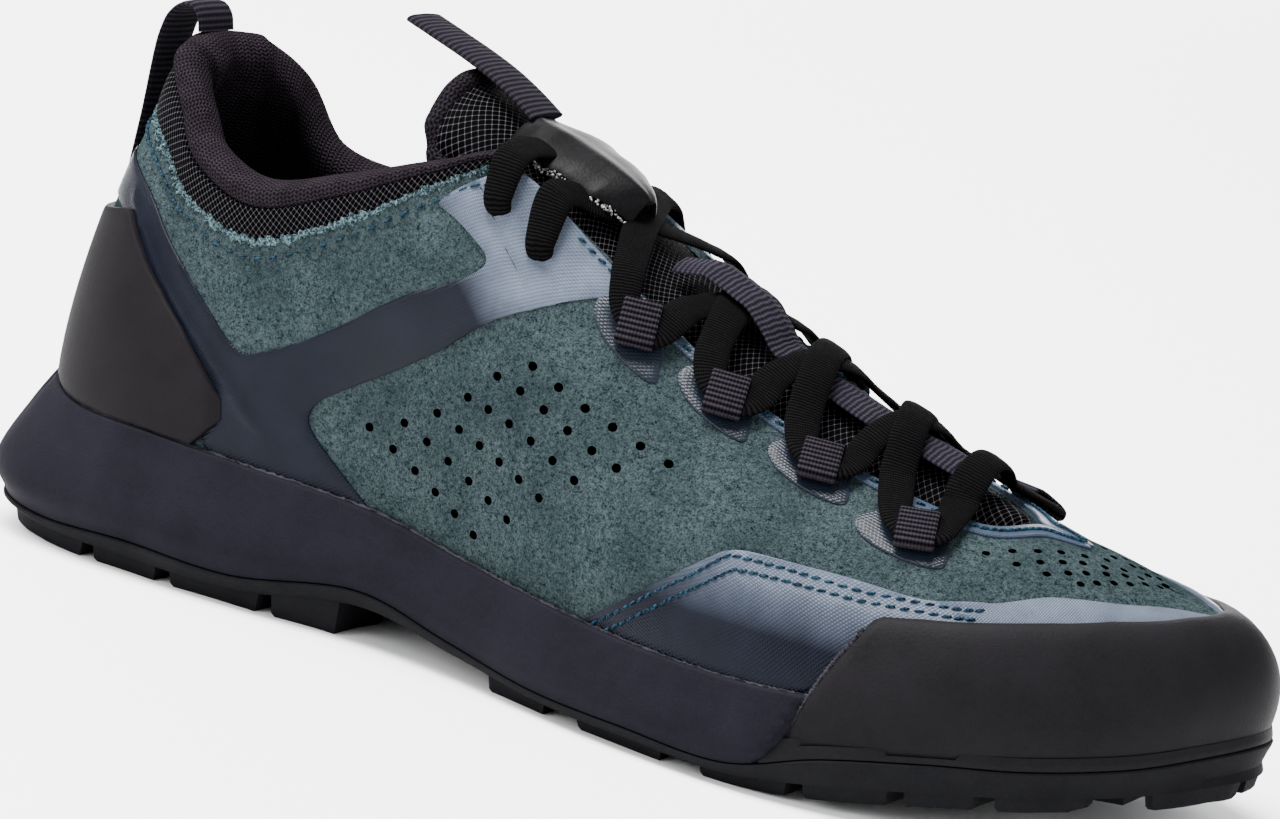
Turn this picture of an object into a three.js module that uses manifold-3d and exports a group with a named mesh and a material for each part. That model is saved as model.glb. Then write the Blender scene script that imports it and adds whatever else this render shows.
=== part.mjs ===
// A low approach shoe for the right foot, in millimetres.
// +X points to the toe, +Y to the inner (medial) side and +Z up; the lugs stand on z = 0.
import * as THREE from 'three';
import { mergeVertices } from 'three/addons/utils/BufferGeometryUtils.js';
import Module from 'manifold-3d';

const wasm = await Module();
wasm.setup();
const { Manifold, Mesh: SolidMesh } = wasm;

// Driving sizes
const soleLength = 290;
const ballWidth = 103;
const collarHeight = 108.5;
const bedHeight = 22;
const wall = 2.2;
const gap = 0.3;

// Tables hold shares in percent: X of the sole length, Y of the ball width, Z of the collar height,
// and the sole's own heights of the bed height.
const table = (names, rows) => rows.map((row) => Object.fromEntries(names.map((n, k) => [n, row[k]])));

// One row for each station round the shoe, from the middle of the heel to the tip of the toe.
// mid and half give the outline's two sides; inset is from the outline in to the upper's foot.
const soleTable = table(
  ['x', 'mid', 'half', 'inset', 'bed', 'rim', 'seam', 'plate', 'tread'],
  [
    [0.0, 0.0, 0.0, 9.7, 100, 176, 41, 32, 16],
    [1.2, -0.6, 20.5, 11.6, 100, 168, 36, 25, 10],
    [3.8, -0.6, 29.5, 9.8, 100, 150, 30, 18, 3],
    [9.0, -0.6, 35.0, 7.7, 100, 140, 28, 15, 0],
    [16.6, -0.6, 37.2, 6.6, 98, 139, 33, 15, 0],
    [25.9, -1.0, 36.4, 6.2, 93, 134, 31, 15, 0],
    [36.2, -2.4, 33.0, 5.8, 84, 126, 51, 34, 0],
    [44.8, -4.4, 33.5, 5.8, 73, 109, 34, 21, 0],
    [53.4, -4.9, 38.8, 6.0, 64, 100, 22, 11, 0],
    [62.1, -2.9, 45.6, 6.3, 59, 95, 22, 10, 0],
    [70.7, -0.5, 50.0, 6.3, 58, 95, 22, 10, 0],
    [77.6, 1.5, 50.0, 6.3, 64, 100, 48, 22, 9],
    [84.5, 3.4, 46.1, 6.3, 75, 104, 64, 36, 24],
    [90.3, 5.8, 38.8, 6.3, 86, 110, 71, 45, 33],
    [95.2, 9.2, 27.7, 6.8, 95, 118, 80, 53, 41],
    [98.3, 12.1, 16.0, 7.3, 104, 124, 91, 61, 48],
    [100.0, 12.6, 0.0, 7.8, 109, 128, 98, 66, 53],
  ],
);

// The top line: collar rim, throat edge, then the ridge of the vamp. rise is how far the inner side
// stands above the outer. The last four columns shape the wall between its foot and the top line.
const lastTable = table(
  ['x', 'mid', 'half', 'z', 'rise', 'outLow', 'upLow', 'outHigh', 'downHigh'],
  [
    [8.4, 0, 0, 101.6, 0, 3.2, 21, 10.6, 28],
    [9.2, 0.3, 7.8, 101, 0.5, 3, 21, 10.8, 28],
    [9.8, 1, 14.1, 98.4, 1.5, 3.2, 21, 10.6, 27],
    [12.3, 1.7, 20.4, 92.2, 1.7, 4, 20, 9.1, 25],
    [15.2, 1.9, 25.7, 84.6, -3.5, 3.9, 18, 3.9, 22],
    [21.4, 1.5, 29.1, 80.4, -2, 2.9, 17, 2.9, 18],
    [29.0, 0.5, 29.1, 86.2, -3.5, 2.9, 18, 3.9, 20],
    [36.2, -0.5, 26.7, 93.0, -5.0, 3.9, 20, 7.8, 20],
    [41.4, -1.0, 21.8, 96.2, -6.0, 4.9, 20, 11.7, 18],
    [49.3, -1.5, 18.4, 83.0, -1.5, 6.8, 18, 13.6, 14],
    [58.6, -1.5, 16.5, 68.0, 1.5, 7.8, 17, 14.6, 10],
    [68.3, -1.5, 13.9, 57.3, 2.0, 7.8, 15, 16.5, 6.5],
    [79.0, -1.0, 9.2, 50.7, 1.5, 7.3, 14, 19.4, 3.7],
    [82.9, -0.5, 0.0, 51.2, 0.0, 6.8, 13, 20.4, 1.8],
    [86.9, 2.4, 0.0, 48.6, 0.0, 7.0, 13, 19.4, 2.4],
    [89.7, 4.9, 0.0, 46.3, 0.0, 7.2, 13, 18.0, 3.0],
    [91.7, 7.3, 0.0, 44.6, 0.0, 7.2, 13, 17.0, 3.0],
  ],
);

const toeRow = soleTable.length - 1;
const rowCount = 2 * toeRow;
const throatRow = 13;

const X = (percent) => (percent * soleLength) / 100;
const Y = (percent) => (percent * ballWidth) / 100;
const Z = (percent) => (percent * collarHeight) / 100;
const bedShare = (percent) => (percent * bedHeight) / 100;

// A point of a smooth closed curve through one value per station; t counts stations from the heel,
// along the outer side to the toe and back along the inner side.
function around(value) {
  const nodes = [];
  for (let k = 0; k < rowCount; k += 1) {
    const outer = k <= toeRow;
    nodes.push(value(outer ? k : rowCount - k, outer ? -1 : 1));
  }
  return (t) => {
    const base = Math.floor(t);
    const f = t - base;
    const [a, b, c, d] = [-1, 0, 1, 2].map((s) => nodes[(((base + s) % rowCount) + rowCount) % rowCount]);
    return b + 0.5 * f * (c - a + f * (2 * a - 5 * b + 4 * c - d + f * (3 * (b - c) + d - a)));
  };
}

const outlineX = around((k) => X(soleTable[k].x));
const outlineY = around((k, side) => Y(soleTable[k].mid + side * soleTable[k].half));
const inset = around((k) => Y(soleTable[k].inset));
const bedZ = around((k) => bedShare(soleTable[k].bed));
const rimZ = around((k) => bedShare(soleTable[k].rim));
const seamZ = around((k) => bedShare(soleTable[k].seam));
const plateZ = around((k) => bedShare(soleTable[k].plate));
const treadCurve = around((k) => bedShare(soleTable[k].tread));
const treadZ = (t) => Math.max(0, treadCurve(t));
const topX = around((k) => X(lastTable[k].x));
const topY = around((k, side) => Y(lastTable[k].mid + side * lastTable[k].half));
const topZ = around((k, side) => Z(lastTable[k].z + (side > 0 ? lastTable[k].rise : 0)));
const outLow = around((k) => Y(lastTable[k].outLow));
const upLow = around((k) => Z(lastTable[k].upLow));
const outHigh = around((k) => Y(lastTable[k].outHigh));
const downHigh = around((k) => Z(lastTable[k].downHigh));

const wrap = (t) => ((t % rowCount) + rowCount) % rowCount;
const onRidge = (t) => Math.abs(wrap(t) - toeRow) <= toeRow - throatRow + 1e-9;

// The outline of the sole, moved outwards by a distance, and its outward direction
function outward(t) {
  const step = 0.01;
  const dx = outlineX(t + step) - outlineX(t - step);
  const dy = outlineY(t + step) - outlineY(t - step);
  return new THREE.Vector3(-dy, dx, 0).normalize().negate();
}

function outline(t, out, z) {
  return new THREE.Vector3(outlineX(t), outlineY(t), z).addScaledVector(outward(t), out);
}

function topPoint(t) {
  const point = new THREE.Vector3(topX(t), topY(t), topZ(t));
  if (!onRidge(t)) return point;
  const twin = rowCount - wrap(t);
  return point.add(new THREE.Vector3(topX(twin), topY(twin), topZ(twin))).multiplyScalar(0.5);
}

// The outer face of the upper. v runs from 0 at its foot to 1 at the top line, and below 0 it goes
// straight down by that many millimetres.
function last(t, v) {
  const foot = outline(t, -inset(t), bedZ(t) + gap);
  if (v < 0) return foot.setZ(foot.z + v);
  const out = outward(t);
  const top = topPoint(t);
  const low = foot.clone().addScaledVector(out, outLow(t)).setZ(foot.z + upLow(t));
  const high = top.clone().addScaledVector(out, outHigh(t)).setZ(top.z - downHigh(t));
  const w = 1 - v;
  return foot.multiplyScalar(w * w * w).addScaledVector(low, 3 * w * w * v)
    .addScaledVector(high, 3 * w * v * v).addScaledVector(top, v * v * v);
}

function faceNormal(t, v) {
  const step = 0.004;
  const c = Math.min(v, 0.985);
  const along = last(t + step, c).sub(last(t - step, c));
  const up = last(t, c + step).sub(last(t, c - step));
  return along.cross(up).normalize();
}

// The same face moved out along its own direction; both sides of the ridge share their points there
function face(t, v, out) {
  const normal = faceNormal(t, v);
  if (v > 0.999 && onRidge(t)) normal.add(faceNormal(rowCount - wrap(t), v)).normalize();
  return last(t, v).addScaledVector(normal, out);
}

function heightToV(t, z) {
  const foot = bedZ(t) + gap;
  if (z <= foot) return z - foot;
  let low = 0;
  let high = 1;
  for (let k = 0; k < 24; k += 1) {
    const middle = (low + high) / 2;
    if (last(t, middle).z < z) low = middle;
    else high = middle;
  }
  return (low + high) / 2;
}

// A straight run between the named points of a list [t, value]
function runOf(points) {
  return (t) => {
    const k = Math.max(1, points.findIndex((p) => p[0] >= t) < 0 ? points.length - 1
      : points.findIndex((p) => p[0] >= t));
    const [t0, a] = points[k - 1];
    const [t1, b] = points[k];
    return a + ((b - a) * Math.min(1, Math.max(0, (t - t0) / (t1 - t0))));
  };
}

// Closed meshes from triangles, with shared corners merged
function geometryOf(triangles) {
  const values = new Float32Array(triangles.length * 9);
  triangles.forEach((corners, k) => corners.forEach((p, c) => p.toArray(values, k * 9 + c * 3)));
  const geometry = new THREE.BufferGeometry();
  geometry.setAttribute('position', new THREE.BufferAttribute(values, 3));
  const merged = mergeVertices(geometry, 1e-4);
  const index = [...merged.index.array];
  const kept = [];
  for (let k = 0; k < index.length; k += 3) {
    const [a, b, c] = index.slice(k, k + 3);
    if (a !== b && b !== c && c !== a) kept.push(a, b, c);
  }
  merged.setIndex(kept);
  if (volumeOf(merged) < 0) merged.setIndex(kept.reverse());
  return merged;
}

function volumeOf(geometry) {
  const position = geometry.getAttribute('position');
  const corner = (k) => new THREE.Vector3().fromBufferAttribute(position, geometry.index.getX(k));
  let sum = 0;
  for (let k = 0; k < geometry.index.count; k += 3) {
    sum += corner(k).dot(corner(k + 1).cross(corner(k + 2))) / 6;
  }
  return sum;
}

const quad = (a, b, c, d) => [[a, b, c], [a, c, d]];

// A solid through closed loops of points; an open run of loops gets an end face at both ends, each
// loop being two chains of the same count, one up and one back.
function loft(loops, closed) {
  const triangles = [];
  const count = loops[0].length;
  const last = closed ? loops.length : loops.length - 1;
  for (let i = 0; i < last; i += 1) {
    const here = loops[i];
    const next = loops[(i + 1) % loops.length];
    for (let j = 0; j < count; j += 1) {
      const k = (j + 1) % count;
      triangles.push(...quad(here[j], next[j], next[k], here[k]));
    }
  }
  if (!closed) {
    for (const [loop, turned] of [[loops[0], false], [loops[loops.length - 1], true]]) {
      for (let j = 0; j < count / 2 - 1; j += 1) {
        const corners = [loop[j], loop[j + 1], loop[count - 2 - j], loop[count - 1 - j]];
        triangles.push(...quad(...(turned ? corners.reverse() : corners)));
      }
    }
  }
  return triangles;
}

// A piece laid on the upper: t and v of its corners come from (a, b) in the unit square
function patch(across, upward, place, inner, outer) {
  const loops = [];
  for (let i = 0; i <= across; i += 1) {
    const a = i / across;
    const up = [];
    const back = [];
    for (let j = 0; j <= upward; j += 1) {
      const b = j / upward;
      const [t, v] = place(a, b);
      up.push(face(t, v, outer(t, b, a)));
      back.unshift(face(t, v, inner(t, b, a)));
    }
    loops.push([...up, ...back]);
  }
  return geometryOf(loft(loops, false));
}

const toSolid = (geometry) => new Manifold(new SolidMesh({
  numProp: 3,
  vertProperties: new Float32Array(geometry.getAttribute('position').array),
  triVerts: new Uint32Array(geometry.index.array),
}));

function toGeometry(solid) {
  const mesh = solid.getMesh();
  const geometry = new THREE.BufferGeometry();
  geometry.setAttribute('position', new THREE.BufferAttribute(new Float32Array(mesh.vertProperties), 3));
  geometry.setIndex([...mesh.triVerts]);
  return geometry;
}

const prepared = (geometry) => {
  const copy = geometry.clone();
  copy.deleteAttribute('normal');
  copy.deleteAttribute('uv');
  return mergeVertices(copy, 1e-4);
};

// Stations round the shoe, two to a row; the inner side mirrors the outer
const stationStep = 0.5;
const stations = Array.from({ length: rowCount / stationStep }, (_, k) => k * stationStep);

// A flat-lying face between a ring's outer and inner side, with rows of points across it
function spanRing(ring, shares, heightAt) {
  const triangles = [];
  const half = ring.length / 2;
  const row = (i) => {
    const a = ring[i];
    const b = ring[(ring.length - i) % ring.length];
    return shares.map((s) => {
      const p = a.clone().lerp(b, s);
      if (s > 0 && s < 1 && heightAt) p.z = heightAt(i, s, p);
      return p;
    });
  };
  for (let i = 0; i < half; i += 1) {
    const here = row(i);
    const next = row(i + 1);
    for (let j = 0; j < shares.length - 1; j += 1) {
      if (i === 0) triangles.push([ring[0], next[j + 1], next[j]]);
      else if (i === half - 1) triangles.push([here[j], here[j + 1], ring[half]]);
      else triangles.push(...quad(here[j], here[j + 1], next[j + 1], next[j]));
    }
  }
  return triangles;
}

const flip = (triangles) => triangles.map(([a, b, c]) => [a, c, b]);

// A solid between two spanned rings, with chains of points up its side
function spannedSolid(chainAt, bottomShares, bottomHeight, topShares, topHeight, at = stations) {
  const chains = at.map(chainAt);
  const triangles = [];
  const count = chains[0].length;
  chains.forEach((here, i) => {
    const next = chains[(i + 1) % chains.length];
    for (let j = 0; j < count - 1; j += 1) {
      triangles.push(...quad(here[j], next[j], next[j + 1], here[j + 1]));
    }
  });
  const bottom = chains.map((chain) => chain[0]);
  const top = chains.map((chain) => chain[count - 1]);
  triangles.push(...spanRing(bottom, bottomShares, bottomHeight));
  triangles.push(...flip(spanRing(top, topShares, topHeight)));
  return geometryOf(triangles);
}

// Upper: outer face, inner face one wall further in, open at the collar, throat and underneath.
// Its edge stops below the top line where the collar covers it.
const edgeDrop = around((k) => Z([13, 13, 13, 12.4, 11.8, 11.2, 8.8, 4.6, 1.9, 0, 0, 0, 0, 0, 0, 0, 0][k]));
const upperRows = 6;

function upperTop(t, rise) {
  const drop = edgeDrop(t) - rise;
  return drop < 0.05 ? 1 : heightToV(t, topPoint(t).z - drop);
}

function upperLevels(t, rise = 0) {
  const rim = heightToV(t, rimZ(t));
  const top = upperTop(t, rise);
  const levels = [0, rim / 2, rim];
  for (let k = 1; k <= upperRows; k += 1) levels.push(rim + ((top - rim) * k) / upperRows);
  return levels;
}

function upperWall(out, back, rise) {
  const triangles = [];
  const loops = stations.map((t) => {
    const levels = upperLevels(t, rise);
    const outer = levels.map((v) => face(t, v, out));
    const inner = levels.filter((_, k) => k % 2 === 0).map((v) => face(t, v, -back)).reverse();
    return [...outer, ...inner];
  });
  const count = loops[0].length;
  const rimEdge = upperLevels(0).length - 1;
  loops.forEach((here, i) => {
    const t = stations[i];
    const next = loops[(i + 1) % loops.length];
    for (let j = 0; j < count; j += 1) {
      if (j === rimEdge && onRidge(t) && onRidge(t + stationStep)) continue;
      const k = (j + 1) % count;
      triangles.push(...quad(here[j], next[j], next[k], here[k]));
    }
  });
  return toSolid(geometryOf(triangles));
}

// The upper's outer face moved out and closed, to cut what lies on it
function envelope(out) {
  const chain = (t) => [-bedHeight / 2, ...upperLevels(t)].map((v) => face(t, v, out));
  const plain = [0, 0.5, 1];
  return toSolid(spannedSolid(chain, plain, null, plain, null));
}

const eyeletBore = 4.5;
const eyeletRows = table(['t', 'v'], [[7.99, 0.872], [8.48, 0.845]]);

// Pins through both sides of the upper, one for each punched eyelet
function eyeletPins() {
  const pins = [];
  for (const { t, v } of eyeletRows) {
    for (const side of [t, rowCount - t]) {
      const normal = faceNormal(side, v);
      const pin = new THREE.CylinderGeometry(eyeletBore / 2, eyeletBore / 2, 12, 10);
      const turn = new THREE.Quaternion().setFromUnitVectors(new THREE.Vector3(0, 1, 0), normal);
      pin.applyQuaternion(turn);
      pin.translate(...face(side, v, 0).toArray());
      pins.push(toSolid(prepared(pin)));
    }
  }
  return Manifold.union(pins);
}

// Insole: lies on the midsole's bed inside the upper's foot
const insoleThick = 4.5;
const insoleGap = 0.5;

function makeInsole() {
  const chain = (t) => {
    const foot = outline(t, -inset(t) - wall - insoleGap, bedZ(t) + gap);
    const low = foot.clone();
    const high = foot.clone().addScaledVector(outward(t), -0.6);
    high.z += insoleThick;
    return [low, high];
  };
  const plain = [0, 0.5, 1];
  return spannedSolid(chain, plain, null, plain, null);
}

// Midsole: a foam cup whose rim stands round the upper; it bulges behind and beside the heel
const belly = around((k) => [2.4, 2.4, 2.2, 1.8, 1.2, 0.8, 0.6, 0.5, 0.4, 0.4, 0.4, 0, 0, 0, 0, 0, 0][k]);
const rimThick = 2;
const plateThick = 3.2;
const acrossShares = [0, 0.06, 0.5, 0.94, 1];
const stationAt = (i) => i * stationStep;

function layerZ(t, share) {
  const inner = share > 0.05 && share < 0.95;
  return inner ? Math.min(seamZ(t), plateZ(t) + plateThick) : seamZ(t);
}

function makeMidsole(cutter) {
  const chain = (t) => {
    const seam = seamZ(t) + gap;
    const rim = rimZ(t);
    const rise = rim - seam;
    const v = heightToV(t, rim);
    const edge = face(t, v, gap);
    const rimOuter = face(t, v, gap + rimThick).setZ(rim);
    const low = outline(t, -0.6, seam);
    const wide = outline(t, belly(t), seam + rise * 0.25);
    const slope = wide.clone().lerp(rimOuter, 0.5).setZ(seam + rise * 0.66);
    return [low, wide, slope, rimOuter, edge, face(t, v / 2, gap), outline(t, -inset(t) + gap, bedZ(t))];
  };
  const bottomHeight = (i, s) => layerZ(stationAt(i), s) + gap;
  const topHeight = (i) => bedZ(stationAt(i));
  const whole = spannedSolid(chain, acrossShares, bottomHeight, [0, 0.5, 1], topHeight);
  return toGeometry(toSolid(whole).subtract(cutter));
}

// Outsole: a plate with its edge up to the seam, and lugs below it
const lugSplit = 13;
const lugSplitGap = 4;
const lugSkew = 5;
const lugRows = table(
  ['from', 'to'],
  [
    [2.5, 12.0], [13.0, 19.0], [20.2, 28.0], [29.0, 34.6],
    [48.8, 54.5], [57.6, 65.3], [68.5, 75.2], [76.3, 82.0], [83.0, 87.2], [88.3, 92.5], [93.6, 98.5],
  ],
);

function prism(corners, low, high) {
  const shape = new THREE.Shape(corners.map(([x, y]) => new THREE.Vector2(x, y)));
  const geometry = new THREE.ExtrudeGeometry(shape, { depth: high - low, bevelEnabled: false });
  return toSolid(prepared(geometry.translate(0, 0, low)));
}

function makeOutsole() {
  const plateChain = (t) => [outline(t, -2.6, plateZ(t)), outline(t, -1.2, (plateZ(t) + seamZ(t)) / 2),
    outline(t, -0.6, seamZ(t))];
  const plate = spannedSolid(plateChain, [0, 1], null, acrossShares,
    (i, s) => layerZ(stationAt(i), s));
  const lugChain = (t) => [outline(t, -3.4, treadZ(t)), outline(t, -2.8, plateZ(t) + 0.8)];
  const rows = stations.filter((t) => Number.isInteger(t));
  const lugSpace = spannedSolid(lugChain, [0, 1], null, [0, 1], null, rows);
  const edge = ballWidth;
  const half = lugSplitGap / 2;
  const columns = [[-edge, -lugSplit - half], [-lugSplit + half, lugSplit - half], [lugSplit + half, edge]];
  const blocks = lugRows.flatMap(({ from, to }) => columns.map(([y0, y1], c) => {
    const lead = c === 1 ? lugSkew : 0;
    const [x0, x1] = [X(from), X(to)];
    const inner = c === 0 ? y1 : y0;
    const outer = c === 0 ? y0 : y1;
    const corners = c === 1
      ? [[x0 + lead, y0], [x1 + lead - 1, y0], [x1 + lead - 1, y1], [x0 + lead, y1]]
      : [[x0, outer], [x1, outer], [x1, inner * 1.9], [x1 + lugSkew / 2, inner], [x0 + lugSkew / 2, inner],
        [x0, inner * 1.9]];
    return prism(c === 2 ? corners.reverse() : corners, -1, bedHeight);
  }));
  const lugs = Manifold.union(blocks).intersect(toSolid(lugSpace));
  return toGeometry(toSolid(plate).add(lugs));
}

// A piece laid on the upper: its inner face follows the upper's own facets, just clear of them
const seat = 0.3;
const reach = 1;

function laidOn(place, across, upward, outer) {
  return toSolid(patch(across, upward, place, () => -reach, outer)).subtract(envelope(seat));
}

// Toe cap: a rubber rand over the toe, from the outsole's edge up on to the vamp
const capThick = 2.6;
const capLip = 1.5;
const capStart = 10.35;
const capLean = 1.1;
const capTop = runOf([[11.3, 33.8], [11.5, 35.4], [11.8, 36.4], [12.4, 37.8], [13.7, 40.4], [15, 41.6],
  [16, 42]]);
const toOuterSide = (t) => (wrap(t) > toeRow ? rowCount - wrap(t) : wrap(t));
const capHeight = (t) => Z(capTop(toOuterSide(t)));

// a goes round the toe and b up; under is how far the piece starts below the seam, as a share
function capPlace(a, b, grow, under) {
  const up = (1 + under) * b - under;
  const start = capStart + capLean * up - grow / 12;
  const t = start + (rowCount - 2 * start) * a;
  const low = seamZ(t) + gap;
  return [t, heightToV(t, low + (capHeight(t) + grow - low) * up)];
}

function capOuter(t, b) {
  if (b === 1) return capLip;
  const foot = inset(t) - 1.2;
  const f = Math.min(1, b / 0.55);
  return capThick + (foot - capThick) * (1 - f) * (1 - f);
}

function makeToeCap() {
  return toGeometry(laidOn((a, b) => capPlace(a, b, 0, 0), 22, 5, capOuter));
}

// What the cap takes from the midsole, with the gap round it
function capRoom() {
  return toSolid(patch(22, 5, (a, b) => capPlace(a, b, gap, 0.4), () => -2 * seat, () => ballWidth / 8));
}

// Heel counter: a moulded shell round the heel, standing on the midsole's rim
const counterThick = 1.6;
const counterEnd = 4.7;
const counterTop = runOf([[0, 65.5], [2, 66.4], [2.75, 68], [3.35, 61.3], [3.85, 55.3], [4.22, 49.8],
  [4.45, 44.7], [4.7, 38.5]]);
const counterFoot = runOf([[0, 0], [4.42, 0], [4.7, 6.5]]);

function makeHeelCounter() {
  const place = (a, b) => {
    const t = counterEnd * (2 * a - 1);
    const low = rimZ(t) + 2 * gap + Z(counterFoot(Math.abs(t)));
    return [t, heightToV(t, low + (Z(counterTop(Math.abs(t))) - low) * b)];
  };
  const outer = (t, b) => seat + (b === 1 ? counterThick - 0.6 : counterThick);
  return toGeometry(laidOn(place, 18, 3, outer));
}

// Laminated films, each a thin overlay
const filmThick = 0.9;
const filmOuter = () => seat + filmThick;

// The band that joins eyestay and heel, from the throat's top corner back and down to the rim; the
// rows give its two edges as t and v on the upper
const sideRows = table(
  ['tUp', 'vUp', 'tDown', 'vDown'],
  [
    [7.06, 0.885, 8.14, 0.940],
    [7.50, 0.825, 8.65, 0.985],
    [7.80, 0.775, 9.00, 0.985],
    [7.87, 0.740, 9.28, 0.930],
    [7.60, 0.703, 8.28, 0.658],
    [6.76, 0.682, 6.96, 0.554],
    [6.16, 0.632, 6.05, 0.471],
    [5.30, 0.520, 5.64, 0.408],
    [4.96, 0.470, 5.51, 0.340],
    [4.84, 0.380, 5.58, 0.280],
    [4.84, 0.290, 5.70, 0.235],
  ],
);
const sideFoot = { from: 4.66, to: 6.05 };

const outerOrInner = (t, side) => (side < 0 ? t : rowCount - t);

function makeSideFilm(side, pins) {
  const ends = sideRows.map((row) => [[row.tUp, row.vUp], [row.tDown, row.vDown]]);
  ends.push([sideFoot.from, sideFoot.to].map((t) => [t, heightToV(t, rimZ(t) + 2 * gap)]));
  const parts = ends.length - 1;
  const place = (a, b) => {
    const k = Math.min(parts - 1, Math.floor(a * parts + 1e-6));
    const f = a * parts - k;
    const [t, v] = [0, 1].map((c) => {
      const [up, down] = [0, 1].map((e) => ends[k][e][c] * (1 - f) + ends[k + 1][e][c] * f);
      return up + (down - up) * b;
    });
    return [outerOrInner(t, side), v];
  };
  return toGeometry(laidOn(place, 2 * parts, 2, filmOuter).subtract(pins));
}

// The band over the counter, round the back of the heel
const heelFilmEnd = 4.6;
const heelFilmTop = runOf([[0, 73.5], [2, 73], [3.17, 71], [3.99, 62.8], [4.3, 57.8], [4.6, 52.5]]);

function makeHeelFilm() {
  const place = (a, b) => {
    const t = heelFilmEnd * (2 * a - 1);
    const low = Z(counterTop(Math.abs(t))) + 2 * gap;
    return [t, heightToV(t, low + (Z(heelFilmTop(Math.abs(t))) - low) * b)];
  };
  return toGeometry(laidOn(place, 18, 1, filmOuter));
}

// The band above the sole from the ball to the toe
const foreStart = 8.4;
const foreTop = runOf([[8.4, 19.8], [8.6, 22.6], [9.37, 31.6], [9.85, 37], [10.25, 40.4], [10.7, 40.6],
  [11.4, 40.2], [11.8, 39.5], [12.2, 40.6], [13.7, 42.8], [16, 43.6]]);
const clearOfCap = 0.14;

function foreLow(t) {
  const side = toOuterSide(t);
  const share = (side - capStart + clearOfCap) / capLean;
  const edge = seamZ(t) + (capHeight(t) - seamZ(t)) * Math.max(0, share);
  return Math.max(rimZ(t), share > 1 ? capHeight(t) : edge) + 4 * gap;
}

function makeForefootFilm() {
  const place = (a, b) => {
    const t = foreStart + (rowCount - 2 * foreStart) * a;
    const low = foreLow(t);
    const high = Math.max(low + 0.8, Z(foreTop(toOuterSide(t))));
    return [t, heightToV(t, low + (high - low) * b)];
  };
  return toGeometry(laidOn(place, 48, 2, filmOuter));
}

// Collar: padded, over the upper's edge and down its inside
const collarPad = 8;
const collarEnd = 8.1;
const collarDepth = 36;
const padAt = runOf([[0, collarPad], [5, collarPad], [6.7, 5.4], [collarEnd, 3.4]]);

function makeCollar(room) {
  const loops = [];
  for (let t = -collarEnd; t <= collarEnd + 1e-6; t += collarEnd / 14) {
    const edge = heightToV(t, topPoint(t).z - edgeDrop(t));
    const over = heightToV(t, topPoint(t).z - edgeDrop(t) + gap);
    const pad = padAt(Math.abs(t));
    const mid = (edge + 1) / 2;
    const low = heightToV(t, topPoint(t).z - collarDepth);
    const crown = face(t, 1, -pad * 0.42);
    crown.z += 1;
    const behind = -(wall + 2 * gap);
    loops.push([
      face(t, over, -0.2), face(t, mid, 0.9), face(t, 0.985, -0.3), crown,
      face(t, 0.985, -pad), face(t, mid, -pad - 1), face(t, low, behind - 1.2),
      face(t, low, behind), face(t, (low + edge) / 2, behind), face(t, over, behind),
    ]);
  }
  return toGeometry(toSolid(geometryOf(loft(loops, false))).subtract(room));
}

// Tongue: lies under the throat's edges, and stands above the top of the throat
const tongueThick = 6;
const tongueMiddle = -1;
const tongueTuck = 0.09;
const tongueSwell = 6.3;
const tongueCrown = runOf([[8, 0], [8.8, 0.12], [9.4, 0.45], [9.8, 0.8], [10.3, 1], [11.5, 1], [12.3, 0.85],
  [12.8, 0.4], [13, 0]]);
const tongueTop = table(
  ['x', 'z', 'half', 'drop'],
  [
    [43.2, 92.8, 18.5, 5.0],
    [39.5, 96.8, 19.4, 7.0],
    [36.4, 102.3, 20.2, 10.5],
    [34.0, 105.2, 20.2, 11.5],
    [33.0, 106.6, 16.5, 8.5],
  ],
);

function tongueFromThroat(t) {
  const other = rowCount - t;
  const under = -(wall + 2.5 * gap);
  const outer = [1 - 2 * tongueTuck, 1 - tongueTuck, 1].map((v) => face(t, v, under));
  const inner = [1, 1 - tongueTuck, 1 - 2 * tongueTuck].map((v) => face(other, v, under));
  const a = outer[2];
  const b = inner[0];
  const middle = [0.25, 0.5, 0.75].map((s) => {
    const p = a.clone().lerp(b, s);
    p.z += tongueCrown(t) * tongueSwell * 4 * s * (1 - s);
    return p;
  });
  return [...outer, ...middle, ...inner];
}

function tongueFromTable(row) {
  const shares = [-1, -0.85, -0.66, -0.35, 0, 0.35, 0.66, 0.85, 1];
  const half = Y(row.half);
  return shares.map((s) => new THREE.Vector3(X(row.x), Y(tongueMiddle) + s * half,
    Z(row.z) - Z(row.drop) * Math.abs(s) ** 3));
}

function makeTongue(room) {
  const skins = [];
  for (let t = 13.6; t > 8.8; t -= 0.48) skins.push(tongueFromThroat(t));
  for (const row of tongueTop) skins.push(tongueFromTable(row));
  const loops = skins.map((skin, i) => {
    const before = skins[Math.max(0, i - 1)];
    const after = skins[Math.min(skins.length - 1, i + 1)];
    const thick = i < 2 ? 2 : i > skins.length - 2 ? 3 : tongueThick;
    const back = skin.map((p, j) => {
      const along = after[j].clone().sub(before[j]);
      const side = skin[Math.min(skin.length - 1, j + 1)].clone().sub(skin[Math.max(0, j - 1)]);
      const down = along.cross(side).normalize();
      const edge = j === 0 || j === skin.length - 1 ? 0.4 : 1;
      return p.clone().addScaledVector(down, thick * edge * (down.z > 0 ? -1 : 1));
    });
    return [...skin, ...back.reverse()];
  });
  return toGeometry(toSolid(geometryOf(loft(loops, false))).subtract(room));
}

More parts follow.
